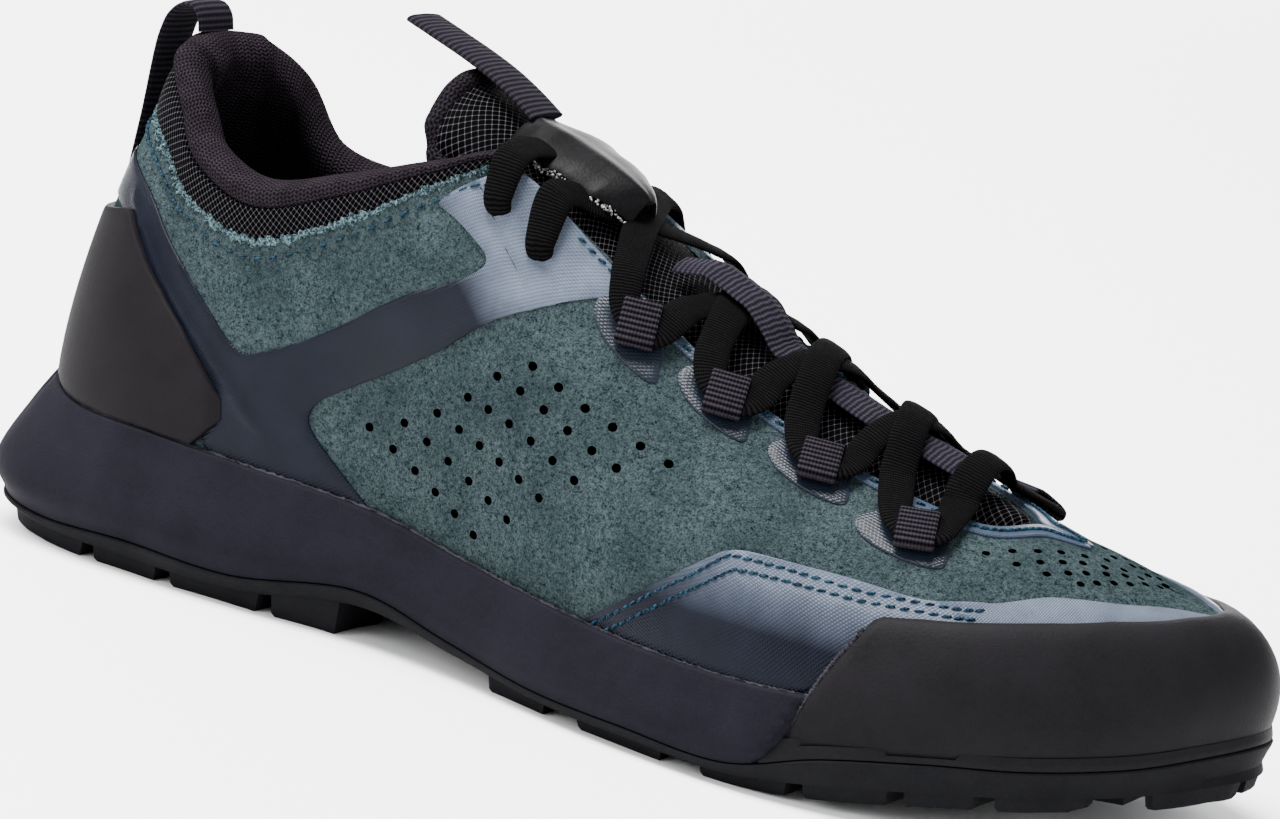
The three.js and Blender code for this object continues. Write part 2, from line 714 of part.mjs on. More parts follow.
// A flat band through points, each with the direction that its face looks in; the width is one
// size or one for each point, and droops are how far its two edges hang below its middle
function band(points, normals, width, thick, droops = null) {
  const widths = Array.isArray(width) ? width : points.map(() => width);
  const shares = droops ? [-1, -0.5, 0, 0.5, 1] : [-1, 1];
  const sag = (s) => (droops ? droops[s < 0 ? 0 : 1] * s * s : 0);
  const loops = points.map((p, i) => {
    const along = points[Math.min(points.length - 1, i + 1)].clone().sub(points[Math.max(0, i - 1)]);
    const across = along.cross(normals[i]).normalize();
    const up = normals[i].clone().normalize();
    const row = (h, list) => list.map((s) => (
      p.clone().addScaledVector(across, (s * widths[i]) / 2).addScaledVector(up, (h * thick) / 2 - sag(s))));
    return [...row(1, shares), ...row(-1, [...shares].reverse())];
  });
  return geometryOf(loft(loops, false));
}

// Places across the throat, from the outer edge (share 0) to the inner edge (share 1)
function overThroat(t, share, lift) {
  const p = face(t, 1, 0).lerp(face(rowCount - t, 1, 0), share);
  p.z += tongueCrown(t) * tongueSwell * 4 * share * (1 - share) + lift;
  return p;
}

// Lace loops of folded webbing, four a side, each a flattened tunnel along the throat's edge
const loopLength = 11;
const loopWidth = 8;
const loopHeight = 3.4;
const loopWall = 0.8;
const loopSeat = 2 * gap;
const loopRows = table(
  ['t', 'vLow', 'vHigh'],
  [[9.43, 0.800, 0.975], [10.20, 0.830, 0.975], [10.98, 0.810, 0.970], [11.66, 0.717, 0.873]],
);

function oval(path, length, height) {
  const r = height / 2;
  path.absarc(length / 2 - r, 0, r, -Math.PI / 2, Math.PI / 2, false);
  path.absarc(r - length / 2, 0, r, Math.PI / 2, Math.PI * 1.5, false);
  return path;
}

// The inner side's loops sit lower by this share of the wall
const innerDrop = 0.05;

// Puts a shape drawn with +X down the side and +Y outwards at a loop's place, extruded along the throat
function atLoop(row, side, shape, width) {
  const t = outerOrInner(row.t, side);
  const drop = side < 0 ? 0 : innerDrop;
  const middle = (row.vHigh + row.vLow) / 2 - drop;
  const down = face(t, row.vLow - drop, 0).sub(face(t, row.vHigh - drop, 0)).normalize();
  const along = down.clone().cross(faceNormal(t, middle)).normalize();
  const normal = along.clone().cross(down).normalize();
  const drawn = { depth: width, bevelEnabled: false, curveSegments: 2 };
  const geometry = new THREE.ExtrudeGeometry(shape, drawn);
  geometry.translate(0, 0, -width / 2);
  const base = face(t, middle, 0).addScaledVector(normal, loopHeight / 2 + loopSeat);
  return geometry.applyMatrix4(new THREE.Matrix4().makeBasis(down, normal, along).setPosition(base));
}

function makeLaceLoop(row, side) {
  const shape = oval(new THREE.Shape(), loopLength, loopHeight);
  shape.holes.push(oval(new THREE.Path(), loopLength - 2 * loopWall, loopHeight - 2 * loopWall));
  return prepared(atLoop(row, side, shape, loopWidth));
}

// What the loops take from the laces, with the gap round them
function loopRoom() {
  const [x, y] = [loopLength / 2 + gap, loopHeight / 2 + gap];
  const shape = new THREE.Shape([[-x, -y], [x, -y], [x, y], [-x, y]].map((c) => new THREE.Vector2(...c)));
  return Manifold.union([-1, 1].flatMap((side) => loopRows.map((row) => (
    toSolid(prepared(atLoop(row, side, shape, loopWidth + 2 * gap)))))));
}

// Laces: flat runs over the tongue, from the mouth of one loop to the mouth of another
const laceWidth = 8;
const laceThick = 1.6;
const laceRest = loopSeat + loopHeight / 2 + gap;
const mouthReach = 0.12;
const mouthLead = 0.09;
const laceSteps = [0.08, 0.22, 0.38, 0.5, 0.62, 0.78, 0.92];

// from and to are places on the outer side and, mirrored, on the inner side; lift is the height of
// the lace's middle over the tongue's
function laceRun(from, to, lift) {
  const far = { ...to, t: rowCount - to.t, v: to.v - to.drop, lead: -to.lead };
  const ends = [from, far].map(({ t, v, lead, rise }) => ({
    points: [face(t, v, laceRest + rise), face(t + lead, 0.985, laceRest + rise)],
    normals: [faceNormal(t, v), faceNormal(t + lead, 0.985)],
  }));
  const start = from.t + from.lead;
  const stop = to.t + to.lead;
  const up = new THREE.Vector3(0.35, 0, 1).normalize();
  const middle = laceSteps.map((s) => {
    const flat = 1 - Math.abs(2 * s - 1) ** 3;
    return overThroat(start + (stop - start) * s, s, laceRest + (lift - laceRest) * flat);
  });
  const middleNormals = laceSteps.map((s) => (
    up.clone().lerp(ends[s < 0.5 ? 0 : 1].normals[1], Math.abs(2 * s - 1) * 0.6).normalize()));
  const points = [...ends[0].points, ...middle, ...ends[1].points.reverse()];
  const normals = [...ends[0].normals, ...middleNormals, ...ends[1].normals.reverse()];
  return toSolid(band(points, normals, laceWidth, laceThick));
}

function mouth(k, end) {
  const row = loopRows[k];
  const v = (row.vLow + row.vHigh) / 2;
  return { t: row.t + end * mouthReach, v, lead: end * mouthLead, drop: innerDrop, rise: 0 };
}

const eyelet = (k) => ({ ...eyeletRows[k], lead: 0, drop: 0, rise: gap });
const underStrip = 1.3;
const overStrip = 3.1;

// From the front mouths of row k to the rear mouths of the next row, each to the other side
function makeCrossing(k, room, lift) {
  const one = laceRun(mouth(k, 1), mouth(k + 1, -1), lift);
  const two = laceRun(mouth(k + 1, -1), mouth(k, 1), lift + laceThick * 0.6);
  return toGeometry(one.add(two).subtract(room));
}

// From the rear mouths of the first row up to the lower eyelets
function makeTopCrossing(room) {
  const lift = underStrip + 2 * gap;
  const rear = { ...mouth(0, -1), rise: gap };
  const one = laceRun(rear, eyelet(1), lift);
  const two = laceRun(eyelet(1), rear, lift + laceThick * 0.6);
  return toGeometry(one.add(two).subtract(room));
}

// Webbing strip down the middle of the tongue; it passes over the first crossing and under the rest
const stripWidth = 12;
const stripThick = 1.2;
const stripDroop = 2;
const stripRise = 0.4 + stripThick / 2;
const stripHump = runOf([[9.25, 0], [9.45, 3], [9.6, 4.8], [10, 4.8], [10.15, 3.2], [10.3, 0]]);

function makeTongueStrip() {
  const points = [];
  for (let t = 11.9; t > 9.25; t -= 0.2) points.push(overThroat(t, 0.5, stripRise + stripHump(t)));
  return band(points, normalsOf(points), stripWidth, stripThick, [stripDroop, stripDroop]);
}

// Normals for a band that runs back along the shoe and faces up
function normalsOf(points) {
  return points.map((p, i) => {
    const along = points[Math.min(points.length - 1, i + 1)].clone().sub(points[Math.max(0, i - 1)]);
    return new THREE.Vector3(0, 1, 0).cross(along).normalize();
  });
}

const pathOf = (rows) => rows.map((row) => new THREE.Vector3(X(row.x), Y(row.y), Z(row.z)));

// Pull tab: doubled webbing that rises off the tongue and points back
const tabThick = 2.4;
const tabRows = table(
  ['x', 'y', 'z'],
  [
    [38.8, -2, 101.9], [37, -2, 104.8], [34.8, -2, 107.8], [32.4, -2, 110.3], [30, -2, 112.4],
    [27.2, -1.5, 114.6],
  ],
);

function makePullTab() {
  const points = pathOf(tabRows);
  return band(points, normalsOf(points), stripWidth, tabThick);
}

// Lace keeper: a smooth padded patch over the top laces
const patchThick = 1.5;
const patchDroops = [-1.5, 3.2];
const patchRows = table(
  ['x', 'y', 'z', 'width'],
  [
    [48.7, -4.2, 91.4, 11], [47.6, -3.6, 94.2, 19], [45.2, -2.5, 96.2, 24], [43.1, -2, 98, 25],
    [40.9, -1.6, 100.2, 25], [39.7, -1.5, 101.4, 22], [39.1, -1.5, 101.8, 14],
  ],
);

function makePatch() {
  const points = pathOf(patchRows);
  return band(points, normalsOf(points), patchRows.map((row) => Y(row.width)), patchThick, patchDroops);
}

// Heel loop: webbing sewn outside the heel that goes over the collar to its inside
const heelLoopWidth = 12.5;
const heelLoopThick = 1.6;
const heelLoopRows = table(
  ['x', 'y', 'z'],
  [
    [4.18, 0, 69.5], [4.43, 0, 75.5], [4.78, 0, 83.7], [5, 0, 91], [5.2, 0, 97], [5.45, 0, 100.5],
    [5.95, 0, 104], [6.9, 0, 106.3], [7.9, 0, 106.6], [8.6, 0, 104.8], [8.9, 0, 101.8],
  ],
);

function makeHeelLoop() {
  const points = pathOf(heelLoopRows);
  return band(points, normalsOf(points), heelLoopWidth, heelLoopThick);
}

const finishes = {
  rubber: { color: 0x1f1f22, roughness: 0.75, metalness: 0 },
  foam: { color: 0x2e2d38, roughness: 0.7, metalness: 0 },
  suede: { color: 0x4a6360, roughness: 0.95, metalness: 0 },
  mesh: { color: 0x16151a, roughness: 0.9, metalness: 0 },
  shell: { color: 0x2c292a, roughness: 0.6, metalness: 0 },
  film: { color: 0x262d44, roughness: 0.45, metalness: 0 },
  webbing: { color: 0x35303a, roughness: 0.9, metalness: 0 },
  lace: { color: 0x171617, roughness: 0.9, metalness: 0 },
  board: { color: 0x3a3840, roughness: 0.95, metalness: 0 },
};

const shoe = new THREE.Group();

function add(name, geometry, finish) {
  const mesh = new THREE.Mesh(geometry, new THREE.MeshStandardMaterial(finishes[finish]));
  mesh.name = name;
  shoe.add(mesh);
}

const pins = eyeletPins();
const wallRoom = upperWall(gap, wall + gap, gap);
const capSolid = capRoom();
const loopSpace = loopRoom();

add('outsole', makeOutsole(), 'rubber');
add('midsole', makeMidsole(capSolid), 'foam');
add('insole', makeInsole(), 'board');
add('upper', toGeometry(upperWall(0, wall, 0).subtract(pins)), 'suede');
add('toe_cap', makeToeCap(), 'rubber');
add('heel_counter', makeHeelCounter(), 'shell');
add('heel_film', makeHeelFilm(), 'film');
add('forefoot_film', makeForefootFilm(), 'film');
add('collar', makeCollar(wallRoom), 'mesh');
add('tongue', makeTongue(wallRoom), 'mesh');
for (const [side, name] of [[-1, 'outer'], [1, 'inner']]) {
  add(`side_film_${name}`, makeSideFilm(side, pins), 'film');
  loopRows.forEach((row, k) => add(`lace_loop_${name}_${k + 1}`, makeLaceLoop(row, side), 'webbing'));
}
for (let k = 0; k < loopRows.length - 1; k += 1) {
  add(`lace_crossing_${k + 1}`, makeCrossing(k, loopSpace, k === 0 ? underStrip : overStrip), 'lace');
}
add('lace_crossing_top', makeTopCrossing(loopSpace), 'lace');
const frontBar = laceRun(mouth(3, 1), mouth(3, 1), overStrip + gap);
const topBar = laceRun(eyelet(0), eyelet(0), underStrip + 1.5 * laceThick);
add('lace_bar_front', toGeometry(frontBar.subtract(loopSpace)), 'lace');
add('lace_bar_top', toGeometry(topBar), 'lace');
add('tongue_strip', makeTongueStrip(), 'webbing');
add('pull_tab', makePullTab(), 'webbing');
add('tongue_patch', makePatch(), 'film');
add('heel_loop', makeHeelLoop(), 'webbing');

// The origin is the middle of the object's footprint, on the floor
const size = new THREE.Box3().setFromObject(shoe);
shoe.position.set(-(size.min.x + size.max.x) / 2, -(size.min.y + size.max.y) / 2, -size.min.z);

export default shoe;
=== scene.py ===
# A low approach shoe for the right foot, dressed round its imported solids.
# Lengths are in millimetres, with x counted from the back of the heel, until a piece becomes a mesh.
import math

import bmesh
import bpy
import numpy as np
from mathutils import Matrix
from mathutils.geometry import delaunay_2d_cdt


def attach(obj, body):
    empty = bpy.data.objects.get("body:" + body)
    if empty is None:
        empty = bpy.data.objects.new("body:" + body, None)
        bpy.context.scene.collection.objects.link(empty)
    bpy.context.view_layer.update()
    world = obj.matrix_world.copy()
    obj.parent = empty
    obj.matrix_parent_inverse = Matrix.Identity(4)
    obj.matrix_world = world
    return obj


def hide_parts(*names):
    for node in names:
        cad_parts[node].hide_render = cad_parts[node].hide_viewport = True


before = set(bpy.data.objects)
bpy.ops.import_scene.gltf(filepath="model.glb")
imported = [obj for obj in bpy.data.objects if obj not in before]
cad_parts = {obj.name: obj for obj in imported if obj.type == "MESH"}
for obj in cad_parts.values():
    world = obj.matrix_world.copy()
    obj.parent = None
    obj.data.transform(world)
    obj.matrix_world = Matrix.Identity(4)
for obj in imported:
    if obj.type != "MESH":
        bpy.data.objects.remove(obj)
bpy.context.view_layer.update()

# Sizes of the last and the sole, as in the solids
shoe = {
    "soleLength": 290.0,
    "ballWidth": 103.0,
    "collarHeight": 108.5,
    "bedHeight": 22.0,
    "wall": 2.2,
    "gap": 0.3,
    "footprintMiddle": (143.5, 0.13, 0.0),
}
gap = shoe["gap"]
wall = shoe["wall"]

# One row for each station from the heel to the toe tip, in percent of the sole's length (x), the
# ball's width (mid, half, inset) and the bed's height (the rest)
soleColumns = ["x", "mid", "half", "inset", "bed", "rim", "seam", "plate", "tread"]
soleRows = [
    [0.0, 0.0, 0.0, 9.7, 100, 176, 41, 32, 16],
    [1.2, -0.6, 20.5, 11.6, 100, 168, 36, 25, 10],
    [3.8, -0.6, 29.5, 9.8, 100, 150, 30, 18, 3],
    [9.0, -0.6, 35.0, 7.7, 100, 140, 28, 15, 0],
    [16.6, -0.6, 37.2, 6.6, 98, 139, 33, 15, 0],
    [25.9, -1.0, 36.4, 6.2, 93, 134, 31, 15, 0],
    [36.2, -2.4, 33.0, 5.8, 84, 126, 51, 34, 0],
    [44.8, -4.4, 33.5, 5.8, 73, 109, 34, 21, 0],
    [53.4, -4.9, 38.8, 6.0, 64, 100, 22, 11, 0],
    [62.1, -2.9, 45.6, 6.3, 59, 95, 22, 10, 0],
    [70.7, -0.5, 50.0, 6.3, 58, 95, 22, 10, 0],
    [77.6, 1.5, 50.0, 6.3, 64, 100, 48, 22, 9],
    [84.5, 3.4, 46.1, 6.3, 75, 104, 64, 36, 24],
    [90.3, 5.8, 38.8, 6.3, 86, 110, 71, 45, 33],
    [95.2, 9.2, 27.7, 6.8, 95, 118, 80, 53, 41],
    [98.3, 12.1, 16.0, 7.3, 104, 124, 91, 61, 48],
    [100.0, 12.6, 0.0, 7.8, 109, 128, 98, 66, 53],
]
# The top line, and the four columns that shape the wall below it
lastColumns = ["x", "mid", "half", "z", "rise", "outLow", "upLow", "outHigh", "downHigh"]
lastRows = [
    [8.4, 0.0, 0.0, 101.6, 0.0, 3.2, 21, 10.6, 28],
    [9.2, 0.3, 7.8, 101.0, 0.5, 3.0, 21, 10.8, 28],
    [9.8, 1.0, 14.1, 98.4, 1.5, 3.2, 21, 10.6, 27],
    [12.3, 1.7, 20.4, 92.2, 1.7, 4.0, 20, 9.1, 25],
    [15.2, 1.9, 25.7, 84.6, -3.5, 3.9, 18, 3.9, 22],
    [21.4, 1.5, 29.1, 80.4, -2.0, 2.9, 17, 2.9, 18],
    [29.0, 0.5, 29.1, 86.2, -3.5, 2.9, 18, 3.9, 20],
    [36.2, -0.5, 26.7, 93.0, -5.0, 3.9, 20, 7.8, 20],
    [41.4, -1.0, 21.8, 96.2, -6.0, 4.9, 20, 11.7, 18],
    [49.3, -1.5, 18.4, 83.0, -1.5, 6.8, 18, 13.6, 14],
    [58.6, -1.5, 16.5, 68.0, 1.5, 7.8, 17, 14.6, 10],
    [68.3, -1.5, 13.9, 57.3, 2.0, 7.8, 15, 16.5, 6.5],
    [79.0, -1.0, 9.2, 50.7, 1.5, 7.3, 14, 19.4, 3.7],
    [82.9, -0.5, 0.0, 51.2, 0.0, 6.8, 13, 20.4, 1.8],
    [86.9, 2.4, 0.0, 48.6, 0.0, 7.0, 13, 19.4, 2.4],
    [89.7, 4.9, 0.0, 46.3, 0.0, 7.2, 13, 18.0, 3.0],
    [91.7, 7.3, 0.0, 44.6, 0.0, 7.2, 13, 17.0, 3.0],
]
toeRow = len(soleRows) - 1
rowCount = 2 * toeRow
throatRow = 13


def percentOf(size):
    return lambda percent: np.asarray(percent) * shoe[size] / 100


along = percentOf("soleLength")
across = percentOf("ballWidth")
above = percentOf("collarHeight")
bedShare = percentOf("bedHeight")


# The point at share f from b to c, on the smooth curve through a, b, c and d
def curvePoint(a, b, c, d, f):
    return b + 0.5 * f * (c - a + f * (2 * a - 5 * b + 4 * c - d + f * (3 * (b - c) + d - a)))


# A smooth closed curve through one value per station: from the heel along the outer side to the
# toe, and back along the inner side
def around(outer, inner=None):
    inner = outer if inner is None else inner
    nodes = np.array(list(outer) + list(inner[-2:0:-1]), float)

    def at(t):
        t = np.asarray(t, float)
        base = np.floor(t).astype(int)
        return curvePoint(*(nodes[(base + s) % rowCount] for s in (-1, 0, 1, 2)), t - base)

    return at


sole = {name: np.array([row[k] for row in soleRows]) for k, name in enumerate(soleColumns)}
lastShape = {name: np.array([row[k] for row in lastRows]) for k, name in enumerate(lastColumns)}
outlineX = around(along(sole["x"]))
outlineY = around(across(sole["mid"] - sole["half"]), across(sole["mid"] + sole["half"]))
inset = around(across(sole["inset"]))
bedZ, rimZ, seamZ, plateZ, treadCurve = (
    around(bedShare(sole[name])) for name in ("bed", "rim", "seam", "plate", "tread")
)
topX = around(along(lastShape["x"]))
topY = around(
    across(lastShape["mid"] - lastShape["half"]), across(lastShape["mid"] + lastShape["half"])
)
topZ = around(above(lastShape["z"]), above(lastShape["z"] + lastShape["rise"]))
outLow, outHigh = (around(across(lastShape[name])) for name in ("outLow", "outHigh"))
upLow, downHigh = (around(above(lastShape[name])) for name in ("upLow", "downHigh"))


def onRidge(t):
    return np.abs(np.mod(t, rowCount) - toeRow) <= toeRow - throatRow + 1e-9


def column(values):
    return np.asarray(values)[..., None]


def unit(vectors):
    return vectors / np.maximum(np.linalg.norm(vectors, axis=-1, keepdims=True), 1e-9)


def lengthsAlong(points):
    return np.concatenate([[0], np.cumsum(np.linalg.norm(np.diff(points, axis=0), axis=1))])


# A table's rows at places between its keys
def rowsAt(places, keys, rows):
    rows = np.asarray(rows)
    return np.stack([np.interp(places, keys, rows[:, k]) for k in range(rows.shape[1])], -1)


def outward(t):
    step = 0.01
    dx = outlineX(t + step) - outlineX(t - step)
    dy = outlineY(t + step) - outlineY(t - step)
    return unit(np.stack([dy, -dx, np.zeros_like(dx)], -1))


def outline(t, out, z):
    t, out, z = np.broadcast_arrays(np.asarray(t, float), out, z)
    return np.stack([outlineX(t), outlineY(t), z], -1) + outward(t) * column(out)


def topPoint(t):
    t = np.asarray(t, float)
    own = np.stack([topX(t), topY(t), topZ(t)], -1)
    twin = rowCount - np.mod(t, rowCount)
    other = np.stack([topX(twin), topY(twin), topZ(twin)], -1)
    return np.where(column(onRidge(t)), (own + other) / 2, own)


# The upper's outer face: v runs from 0 at its foot to 1 at the top line
def lastPoint(t, v):
    t, v = np.broadcast_arrays(np.asarray(t, float), np.asarray(v, float))
    foot = outline(t, -inset(t), bedZ(t) + gap)
    out = outward(t)
    top = topPoint(t)
    low = foot + out * column(outLow(t))
    low[..., 2] = foot[..., 2] + upLow(t)
    high = top + out * column(outHigh(t))
    high[..., 2] = top[..., 2] - downHigh(t)
    c = column(np.clip(v, 0, None))
    w = 1 - c
    point = w**3 * foot + 3 * w * w * c * low + 3 * w * c * c * high + c**3 * top
    point[..., 2] += np.minimum(v, 0)
    return point


def faceNormal(t, v):
    t, v = np.broadcast_arrays(np.asarray(t, float), np.asarray(v, float))
    step = 0.004
    c = np.minimum(v, 0.985)
    a = lastPoint(t + step, c) - lastPoint(t - step, c)
    b = lastPoint(t, c + step) - lastPoint(t, c - step)
    return unit(np.cross(a, b))


def face(t, v, out):
    t, v, out = np.broadcast_arrays(np.asarray(t, float), np.asarray(v, float), out)
    normal = faceNormal(t, v)
    twin = faceNormal(rowCount - np.mod(t, rowCount), v)
    shared = column((v > 0.999) & onRidge(t))
    normal = np.where(shared, unit(normal + twin), normal)
    return lastPoint(t, v) + normal * column(out)


def heightToV(t, z):
    t, z = np.broadcast_arrays(np.asarray(t, float), np.asarray(z, float))
    foot = bedZ(t) + gap
    low, high = np.zeros(t.shape), np.ones(t.shape)
    for _ in range(20):
        middle = (low + high) / 2
        under = lastPoint(t, middle)[..., 2] < z
        low, high = np.where(under, middle, low), np.where(under, high, middle)
    return np.where(z <= foot, z - foot, (low + high) / 2)


def runOf(points):
    t, values = zip(*points)
    return lambda at: np.interp(at, t, values)


def toOuterSide(t):
    t = np.mod(t, rowCount)
    return np.where(t > toeRow, rowCount - t, t)


# Millimetres along the foot's outline and up the face, for patterns that follow the upper. They start
# at a station where no piece that crosses the heel or the toe is cut
footSteps = np.linspace(0, rowCount, 641)
footLength = lengthsAlong(lastPoint(footSteps, 0.3))
patternStart = -8


def surfaceUv(t, v):
    t, v = np.broadcast_arrays(np.asarray(t, float), np.asarray(v, float))
    levels = np.linspace(0, 1, 13).reshape((13,) + (1,) * t.ndim) * v
    steps = np.diff(lastPoint(np.broadcast_to(t, levels.shape), levels), axis=0)
    up = np.linalg.norm(steps, axis=-1).sum(0) * np.sign(v)
    return np.stack([np.interp(np.mod(t - patternStart, rowCount), footSteps, footLength), up], -1)


def smoothLine(points, count):
    p = np.asarray(points, float)
    p = np.vstack([2 * p[:1] - p[1:2], p, 2 * p[-1:] - p[-2:-1]])
    f = np.linspace(0, 1, 10, endpoint=False)[:, None]
    fine = [curvePoint(*p[k - 1 : k + 3], f) for k in range(1, len(p) - 2)]
    return evenly(np.vstack(fine + [p[-2:-1]]), count)


def evenly(points, count):
    lengths = lengthsAlong(points)
    return rowsAt(np.linspace(0, lengths[-1], count), lengths, points)


# Colours and nodes
def linear(hexColour):
    values = [int(hexColour[k : k + 2], 16) / 255 for k in (1, 3, 5)]
    return [c / 12.92 if c <= 0.04045 else ((c + 0.055) / 1.055) ** 2.4 for c in values] + [1]


def addNode(material, kind, links=None, **settings):
    node = material.node_tree.nodes.new("ShaderNode" + kind)
    for name, value in settings.items():
        setattr(node, name, value)
    for socket, source in (links or {}).items():
        if isinstance(source, bpy.types.NodeSocket):
            material.node_tree.links.new(source, node.inputs[socket])
        else:
            node.inputs[socket].default_value = source
    return node


def calc(material, operation, first, second=0.0, third=0.0):
    return addNode(material, "Math", {0: first, 1: second, 2: third}, operation=operation).outputs[0]


def mixColours(material, share, first, second):
    node = addNode(material, "Mix", {"Factor": share}, data_type="RGBA")
    for socket, colour in ((node.inputs[6], first), (node.inputs[7], second)):
        if isinstance(colour, str):
            socket.default_value = linear(colour)
        else:
            material.node_tree.links.new(colour, socket)
    return node.outputs[2]


def newMaterial(name, roughness, **sockets):
    material = bpy.data.materials.new(name)
    material.use_nodes = True
    material.node_tree.nodes.clear()
    shader = addNode(material, "BsdfPrincipled", {"Roughness": roughness})
    for socket, value in sockets.items():
        shader.inputs[socket.replace("_", " ")].default_value = value
    addNode(material, "OutputMaterial", {"Surface": shader.outputs[0]})
    return material, shader


def coordinates(material, kind="UV"):
    source = addNode(material, "TexCoord").outputs[kind]
    if kind == "Object":
        # metres to millimetres
        links = {0: source, 1: (1000, 1000, 1000)}
        source = addNode(material, "VectorMath", links, operation="MULTIPLY").outputs[0]
    split = addNode(material, "SeparateXYZ", {0: source})
    return source, split.outputs[0], split.outputs[1], split.outputs[2]


def noise(material, vector, grain, detail=2.0, rough=0.5):
    links = {"Vector": vector, "Scale": 1 / grain, "Detail": detail, "Roughness": rough}
    return addNode(material, "TexNoise", links).outputs["Fac"]


def ramp(material, value, low, high):
    links = {"Value": value, "From Min": low, "From Max": high}
    return addNode(material, "MapRange", links).outputs[0]


# depth is in millimetres
def bumped(material, shader, height, depth):
    bump = addNode(material, "Bump", {"Height": height, "Distance": depth * 0.001, "Strength": 1.0})
    material.node_tree.links.new(bump.outputs[0], shader.inputs["Normal"])


def colour(material, shader, source):
    material.node_tree.links.new(source, shader.inputs["Base Color"])


def twoTone(material, shader, share, first, second):
    colour(material, shader, mixColours(material, share, first, second))


def wave(material, coordinate, pitch, phase=0.0):
    turned = calc(material, "MULTIPLY_ADD", coordinate, 2 * math.pi / pitch, phase)
    return calc(material, "SINE", turned)


# A value that slow noise makes uneven
def unevenly(material, value, grain, rough=0.5):
    vector, *_ = coordinates(material, "Object")
    slow = noise(material, vector, grain, 3.0, rough)
    return calc(material, "MULTIPLY", value, calc(material, "MULTIPLY_ADD", slow, 1.2, 0.4))


# Split suede: short raised fibres, brushed into lighter and darker patches, almost no gloss
def makeSuede():
    material, shader = newMaterial("splitSuede", 1.0, Specular_IOR_Level=0.0)
    vector, *_ = coordinates(material, "Object")
    fibre = noise(material, vector, 0.42, 3.0, 0.75)
    clumps = noise(material, vector, 1.1, 3.0, 0.6)
    patches = noise(material, vector, 15.0, 3.0, 0.55)
    tone = calc(material, "MULTIPLY_ADD", fibre, 0.65, calc(material, "MULTIPLY", clumps, 0.35))
    share = ramp(material, tone, 0.37, 0.64)
    base = mixColours(material, share, suedeShades["dark"], suedeShades["light"])
    wearAndGlare = calc(material, "MULTIPLY", ramp(material, patches, 0.38, 0.7), 0.45)
    twoTone(material, shader, wearAndGlare, base, suedeShades["deep"])
    bumped(material, shader, tone, 0.8)
    return material


# The torn edge of the suede: pale loose fibres
def makeTornSuede():
    material, shader = newMaterial("tornSuede", 1.0, Specular_IOR_Level=0.0)
    vector, *_ = coordinates(material, "Object")
    fibre = noise(material, vector, 0.5, 3.0, 0.7)
    twoTone(material, shader, ramp(material, fibre, 0.42, 0.62), "#142226", "#5a6d71")
    bumped(material, shader, fibre, 0.6)
    return material


# Laminated film over canvas: smooth polyurethane that takes the weave's print and shines softly
# an optional glare setting paints a paler glare into the film's colour
def makeFilm(name, base, light, roughness, gloss, wearAndGlare=None):
    thread = 0.8
    material, shader = newMaterial(name, roughness, Specular_IOR_Level=gloss)
    _, u, v, _ = coordinates(material)
    weave = calc(material, "MULTIPLY", wave(material, u, thread), wave(material, v, thread))
    vector, x, _, z = coordinates(material, "Object")
    cloud = noise(material, vector, 7.0, 3.0)
    share = calc(material, "MULTIPLY_ADD", weave, 0.28, ramp(material, cloud, 0.25, 0.85))
    tint = mixColours(material, calc(material, "MULTIPLY", share, 0.7), base, light)
    if wearAndGlare:
        # painted glare: paler where the film rises high and lies far ahead, where it faces up into the
        # lights, with the canvas weave and cloud noise showing in it
        high = ramp(material, calc(material, "MULTIPLY_ADD", x, wearAndGlare["slope"], z), *wearAndGlare["rise"])
        ahead = ramp(material, x, *wearAndGlare["ahead"])
        patchy = calc(material, "MULTIPLY_ADD", cloud, 0.9, 0.35)
        strength = calc(material, "MULTIPLY_ADD", weave, 0.2, patchy)
        glareShare = calc(material, "MULTIPLY", calc(material, "MULTIPLY", high, ahead), strength)
        tint = mixColours(material, glareShare, tint, wearAndGlare["colour"])
    colour(material, shader, tint)
    bumped(material, shader, weave, 0.04)
    return material


# Moulded rubber: matt, with a faint print of the cloth that it was pressed against
def makeRubber(name, base, light, grainDepth, roughness, gloss=0.2):
    material, shader = newMaterial(name, roughness, Specular_IOR_Level=gloss)
    vector, *_ = coordinates(material, "Object")
    grain = noise(material, vector, 0.55, 3.0, 0.65)
    marks = noise(material, vector, 14.0, 4.0, 0.6)
    share = calc(material, "MULTIPLY_ADD", grain, 0.5, calc(material, "MULTIPLY", marks, 0.5))
    twoTone(material, shader, ramp(material, share, 0.36, 0.66), base, light)
    bumped(material, shader, grain, grainDepth)
    return material


# Open spacer mesh: knitted strands round dark holes, with painted glints on the strands, brightest at the
# knots
def makeMesh(name, cellAcross, cellUp, strand, base, light):
    material, shader = newMaterial(name, 0.6, Specular_IOR_Level=0.005)
    _, u, v, _ = coordinates(material)
    cells = calc(material, "DIVIDE", u, cellAcross), calc(material, "DIVIDE", v, cellUp)
    slants = [calc(material, operation, *cells) for operation in ("ADD", "SUBTRACT")]
    lines = [calc(material, "ABSOLUTE", wave(material, slant, 2.0)) for slant in slants]
    thread = ramp(material, calc(material, "MINIMUM", *lines), strand, strand * 0.3)
    knotGlints = ramp(material, calc(material, "MAXIMUM", *lines), 0.75, 0.2)
    # the strands' paler colour is painted glint, stronger at the knots
    lit = calc(material, "MULTIPLY", thread, calc(material, "MULTIPLY_ADD", knotGlints, 0.6, 0.4))
    twoTone(material, shader, lit, base, light)
    bumped(material, shader, thread, 0.6)
    return material


